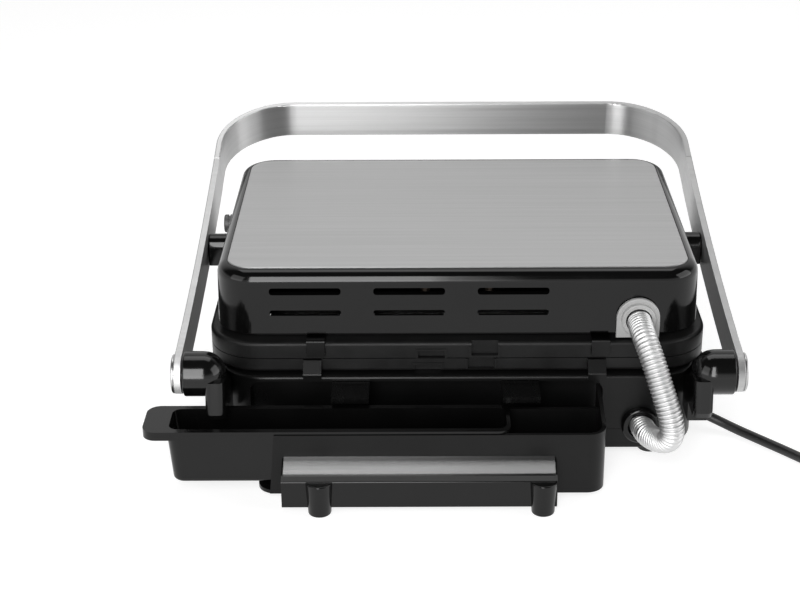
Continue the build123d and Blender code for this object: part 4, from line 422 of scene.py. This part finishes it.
def make_materials():
    """Every finish, by the name used below."""
    made = {**plastics(), **metals()}
    made["plate"] = speckled("plate", grey(0.009), grey(0.05), 0.40, Specular_IOR_Level=0.2)
    made["element"] = tinted_steel("element", (0.12, 0.11, 0.10, 1), (0.20, 0.15, 0.11, 1), 0.42)
    made["lens"] = lens_material()
    return made


FINISHES = {
    "lid_gloss": ["lid_shell", "base_gland"],
    "pod_gloss": ["hinge_bracket_left", "hinge_bracket_right", "pivot_bosses"],
    "housing": ["bottom_cover", "base_housing", "tray_channel", "temperature_knob", "thermostat"],
    "tray": ["drip_tray"],
    "bar": ["stand_bar"],
    "frame_black": ["lid_frame", "terminal_block"],
    "grey_plastic": ["lower_release_button", "upper_release_button", "lid_lock_knob"],
    "gland_grey": ["lid_gland"],
    "rubber": ["rubber_feet", "cord_gland", "plug_body", "cord_tie"],
    "panel": ["lid_panel"],
    "strip": ["stand_strip"],
    "handle": ["handle"],
    "arm": ["arm_left", "arm_right"],
    # The drip spouts take the sheet finish, whose near-black colour is painted shade.
    "sheet": ["drip_spouts"],
    "clip": ["lower_plate_clips", "upper_plate_clips"],
    "plate": ["lower_plate", "upper_plate"],
    "pin": ["hinge_pins", "hinge_caps", "pivot_pins", "pivot_caps", "handle_dowels", "plug_pins"],
    "screw": ["base_screws", "bracket_screws", "lid_screws"],
    "reflector": ["lower_reflector", "upper_reflector"],
    "element": ["lower_element", "upper_element", "thermal_fuse", "upper_limiter"],
    "lens": ["indicator_lenses"],
}


def dress(name, made):
    """Gives a frame node its material."""
    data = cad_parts[name].data
    data.materials.clear()
    data.materials.append(made)


def spline_object(name, points, radius=0.0):
    """Open quadratic NURBS curve through its route's control points."""
    curve = bpy.data.curves.new(name, "CURVE")
    curve.dimensions = "3D"
    curve.resolution_u = CURVE_STEPS
    curve.bevel_depth = radius
    curve.bevel_resolution = CURVE_ROUNDING
    curve.use_fill_caps = True
    spline = curve.splines.new("NURBS")
    spline.points.add(len(points) - 1)
    for point, place in zip(spline.points, points):
        point.co = (*place, 1.0)
    spline.order_u = 3
    spline.use_endpoint_u = True
    return linked(name, curve)


def line_points(points):
    """Points along the spline of the given control points, in order."""
    probe = spline_object("probe", points)
    mesh = bpy.data.meshes.new_from_object(probe)
    line = [v.co.copy() for v in mesh.vertices]
    bpy.data.meshes.remove(mesh)
    bpy.data.objects.remove(probe)
    return line


def even_points(points, step):
    """The same line with points an even step apart."""
    placed = [points[0]]
    left = step
    for a, b in zip(points, points[1:]):
        span = (b - a).length
        done = 0.0
        while span - done >= left:
            done += left
            placed.append(a.lerp(b, done / span))
            left = step
        left -= span - done
    if (placed[-1] - points[-1]).length > step * LAST_STEP_SHARE:
        placed.append(points[-1])
    return placed


def coil_point(turn_deg):
    """Point of the coil's line, with the small growth that a spline's control points need."""
    inward = 360 * COIL_TURNS
    inner_r = COIL_OUTER_R - COIL_STEP * COIL_TURNS
    if turn_deg <= inward:
        radius = COIL_OUTER_R - COIL_STEP * turn_deg / 360
        height = COIL_Z
    elif turn_deg <= inward + 180:
        share = (turn_deg - inward) / 180
        radius = inner_r - COIL_STEP / (2 * math.pi) * math.sin(math.pi * share)
        height = COIL_Z + COIL_STEP * share * share * (3 - 2 * share)
    else:
        radius = inner_r + COIL_STEP * (turn_deg - inward - 180) / 360
        height = COIL_Z + COIL_STEP
    radius /= math.cos(math.radians(COIL_POINT_DEG / 2))
    angle = math.radians(COIL_START_DEG + turn_deg)
    return (
        COIL_CENTRE[0] + radius * math.cos(angle),
        COIL_CENTRE[1] + radius * math.sin(angle),
        height,
    )


def lead_point(turn_deg, distance):
    """Point on the straight lead beyond an end of the coil."""
    here = Vector(coil_point(turn_deg))
    near = Vector(coil_point(turn_deg + (1 if distance < 0 else -1)))
    return tuple(here + (here - near).normalized() * abs(distance))


def make_cord(materials):
    """Mains cord: along the table, into its coil and on to the plug, as one spline."""
    last_deg = 720 * COIL_TURNS + 180
    route = list(CORD_ROUTE)
    route.append(lead_point(0, -COIL_LEAD))
    for turn_deg in range(0, last_deg + 1, COIL_POINT_DEG):
        route.append(coil_point(turn_deg))
    route.append(lead_point(last_deg, TAIL_LEAD))
    route += TAIL_ROUTE
    points = [spot(*p) for p in route]
    cord = spline_object("mains_lead", points, CORD_R * MM)
    cord.data.materials.append(materials["cord"])
    line = line_points(points)
    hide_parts("mains_cord", "cord_coil", "cord_tail")
    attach(cord, "base")


def rib_radius(distance, total):
    """Radius of the conduit at a distance along it: rounded ribs between plain ends."""
    if distance < HOSE_PLAIN_END or distance > total - HOSE_PLAIN_END:
        return HOSE_VALLEY_R
    phase = (distance - HOSE_PLAIN_END) / HOSE_PITCH % 1.0
    crest = 0.5 - 0.5 * math.cos(2 * math.pi * phase)
    return HOSE_VALLEY_R + (HOSE_R - HOSE_VALLEY_R) * crest**HOSE_RIB_POWER


def ring_about(mesh, place, tangent, radius):
    """Round of vertices square to the conduit's line."""
    side = Vector((1, 0, 0))
    side = (side - tangent * side.dot(tangent)).normalized()
    up = tangent.cross(side)
    ring = []
    for k in range(HOSE_SIDES):
        angle = 2 * math.pi * k / HOSE_SIDES
        spoke = side * math.cos(angle) + up * math.sin(angle)
        ring.append(mesh.verts.new(place + spoke * radius * MM))
    return ring


def bridge(mesh, ring, other, smooth):
    """Faces all round between two rounds of vertices."""
    for k in range(HOSE_SIDES):
        n = (k + 1) % HOSE_SIDES
        face = mesh.faces.new([ring[k], ring[n], other[n], other[k]])
        face.smooth = smooth


def hose_length(name, line, first, last, materials):
    """The conduit with its bore from one point of its line to another."""
    steps = [(b - a).length / MM for a, b in zip(line, line[1:])]
    along = [0.0, *accumulate(steps)]
    mesh = bmesh.new()
    outer, inner = [], []
    for i in range(first, last + 1):
        tangent = (line[min(i + 1, len(line) - 1)] - line[max(i - 1, 0)]).normalized()
        outer.append(ring_about(mesh, line[i], tangent, rib_radius(along[i], along[-1])))
        inner.append(ring_about(mesh, line[i], tangent, HOSE_BORE_R))
    for rings in (outer, inner):
        for ring, other in zip(rings, rings[1:]):
            bridge(mesh, ring, other, smooth=True)
    for end in (0, -1):
        bridge(mesh, outer[end], inner[end], smooth=False)
    data = bpy.data.meshes.new(name)
    bmesh.ops.recalc_face_normals(mesh, faces=mesh.faces)
    mesh.to_mesh(data)
    mesh.free()
    hose = linked(name, data)
    data.materials.append(materials["conduit"])
    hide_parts("conduit")
    return hose


def make_conduit(materials):
    """Corrugated conduit in two lengths: its end in the lid, and the rest."""
    route = [spot(*p) for p in HOSE_ROUTE]
    line = even_points(line_points(route), HOSE_PITCH * MM / HOSE_STEPS)
    seam = next(i for i, place in enumerate(line) if place.y > spot(0, HOSE_SEAM_Y, 0).y)
    stub = hose_length("conduit_end", line, 0, seam, materials)
    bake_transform(stub)
    hose = hose_length("ribbed_conduit", line, seam, len(line) - 1, materials)
    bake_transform(hose)


def area_light(name, place, target, size, power):
    """Soft rectangular lamp that faces a point."""
    data = bpy.data.lights.new(name, "AREA")
    data.shape = "RECTANGLE"
    data.size, data.size_y = size
    data.energy = power
    lamp = linked(name, data)
    turn = (Vector(target) - Vector(place)).to_track_quat("-Z", "Y").to_matrix().to_4x4()
    lamp.matrix_world = Matrix.Translation(place) @ turn


def seen_rays(nodes):
    """1 on camera, glossy and transmission rays, which see the pale backdrop."""
    path = nodes.add("ShaderNodeLightPath").outputs
    seen = nodes.math("MAXIMUM", path["Is Camera Ray"], path["Is Glossy Ray"])
    return nodes.math("MAXIMUM", seen, path["Is Transmission Ray"])


def make_backdrop():
    """World that is pale low down and on the grill's front side, and dark overhead."""
    world = bpy.data.worlds.new("studio")
    bpy.context.scene.world = world
    world.use_nodes = True
    nodes = Nodes(world.node_tree)
    direction = nodes.add("ShaderNodeTexCoord").outputs["Generated"]
    split = nodes.add("ShaderNodeSeparateXYZ", Vector=direction)
    low = nodes.ramp(split.outputs["Z"], *LOW_FADE, 1.0, CEILING_LEVEL, smooth=True)
    front = nodes.ramp(split.outputs["Y"], *FRONT_FADE, FRONT_LEVEL, 0.0, smooth=True)
    backdrop = nodes.math("MAXIMUM", low, front)
    ambient = nodes.math("MULTIPLY", backdrop, AMBIENT_SHARE)
    level = nodes.mix(seen_rays(nodes), ambient, backdrop)
    nodes.finish("ShaderNodeOutputWorld", nodes.add("ShaderNodeBackground", Color=level))


def make_floor():
    """Pale floor that keeps the grill's shadow."""
    half = FLOOR_HALF_M
    mesh = bpy.data.meshes.new("floor")
    corners = [(-half, -half, 0), (half, -half, 0), (half, half, 0), (-half, half, 0)]
    mesh.from_pydata(corners, [], [(0, 1, 2, 3)])
    floor = linked("floor", mesh)
    made = bpy.data.materials.new("floor")
    made.use_nodes = True
    nodes = Nodes(made.node_tree)
    matt = nodes.add("ShaderNodeBsdfDiffuse", Color=grey(FLOOR_ALBEDO))
    glow = nodes.add("ShaderNodeEmission", Color=grey(1.0))
    nodes.put(glow, "Strength", nodes.math("MULTIPLY", seen_rays(nodes), FLOOR_GLOW))
    both = nodes.add("ShaderNodeAddShader")
    nodes.put(both, 0, matt.outputs[0])
    nodes.put(both, 1, glow.outputs[0])
    nodes.finish("ShaderNodeOutputMaterial", both)
    mesh.materials.append(made)


def make_studio():
    """Backdrop, floor and large soft lamps."""
    bpy.context.scene.view_settings.view_transform = "Standard"
    make_backdrop()
    make_floor()
    for lamp in LAMPS:
        area_light(*lamp)


make_camera()
materials = make_materials()
make_cord(materials)
make_conduit(materials)
for finish, names in FINISHES.items():
    for node_name in names:
        dress(node_name, materials[finish])
make_studio()
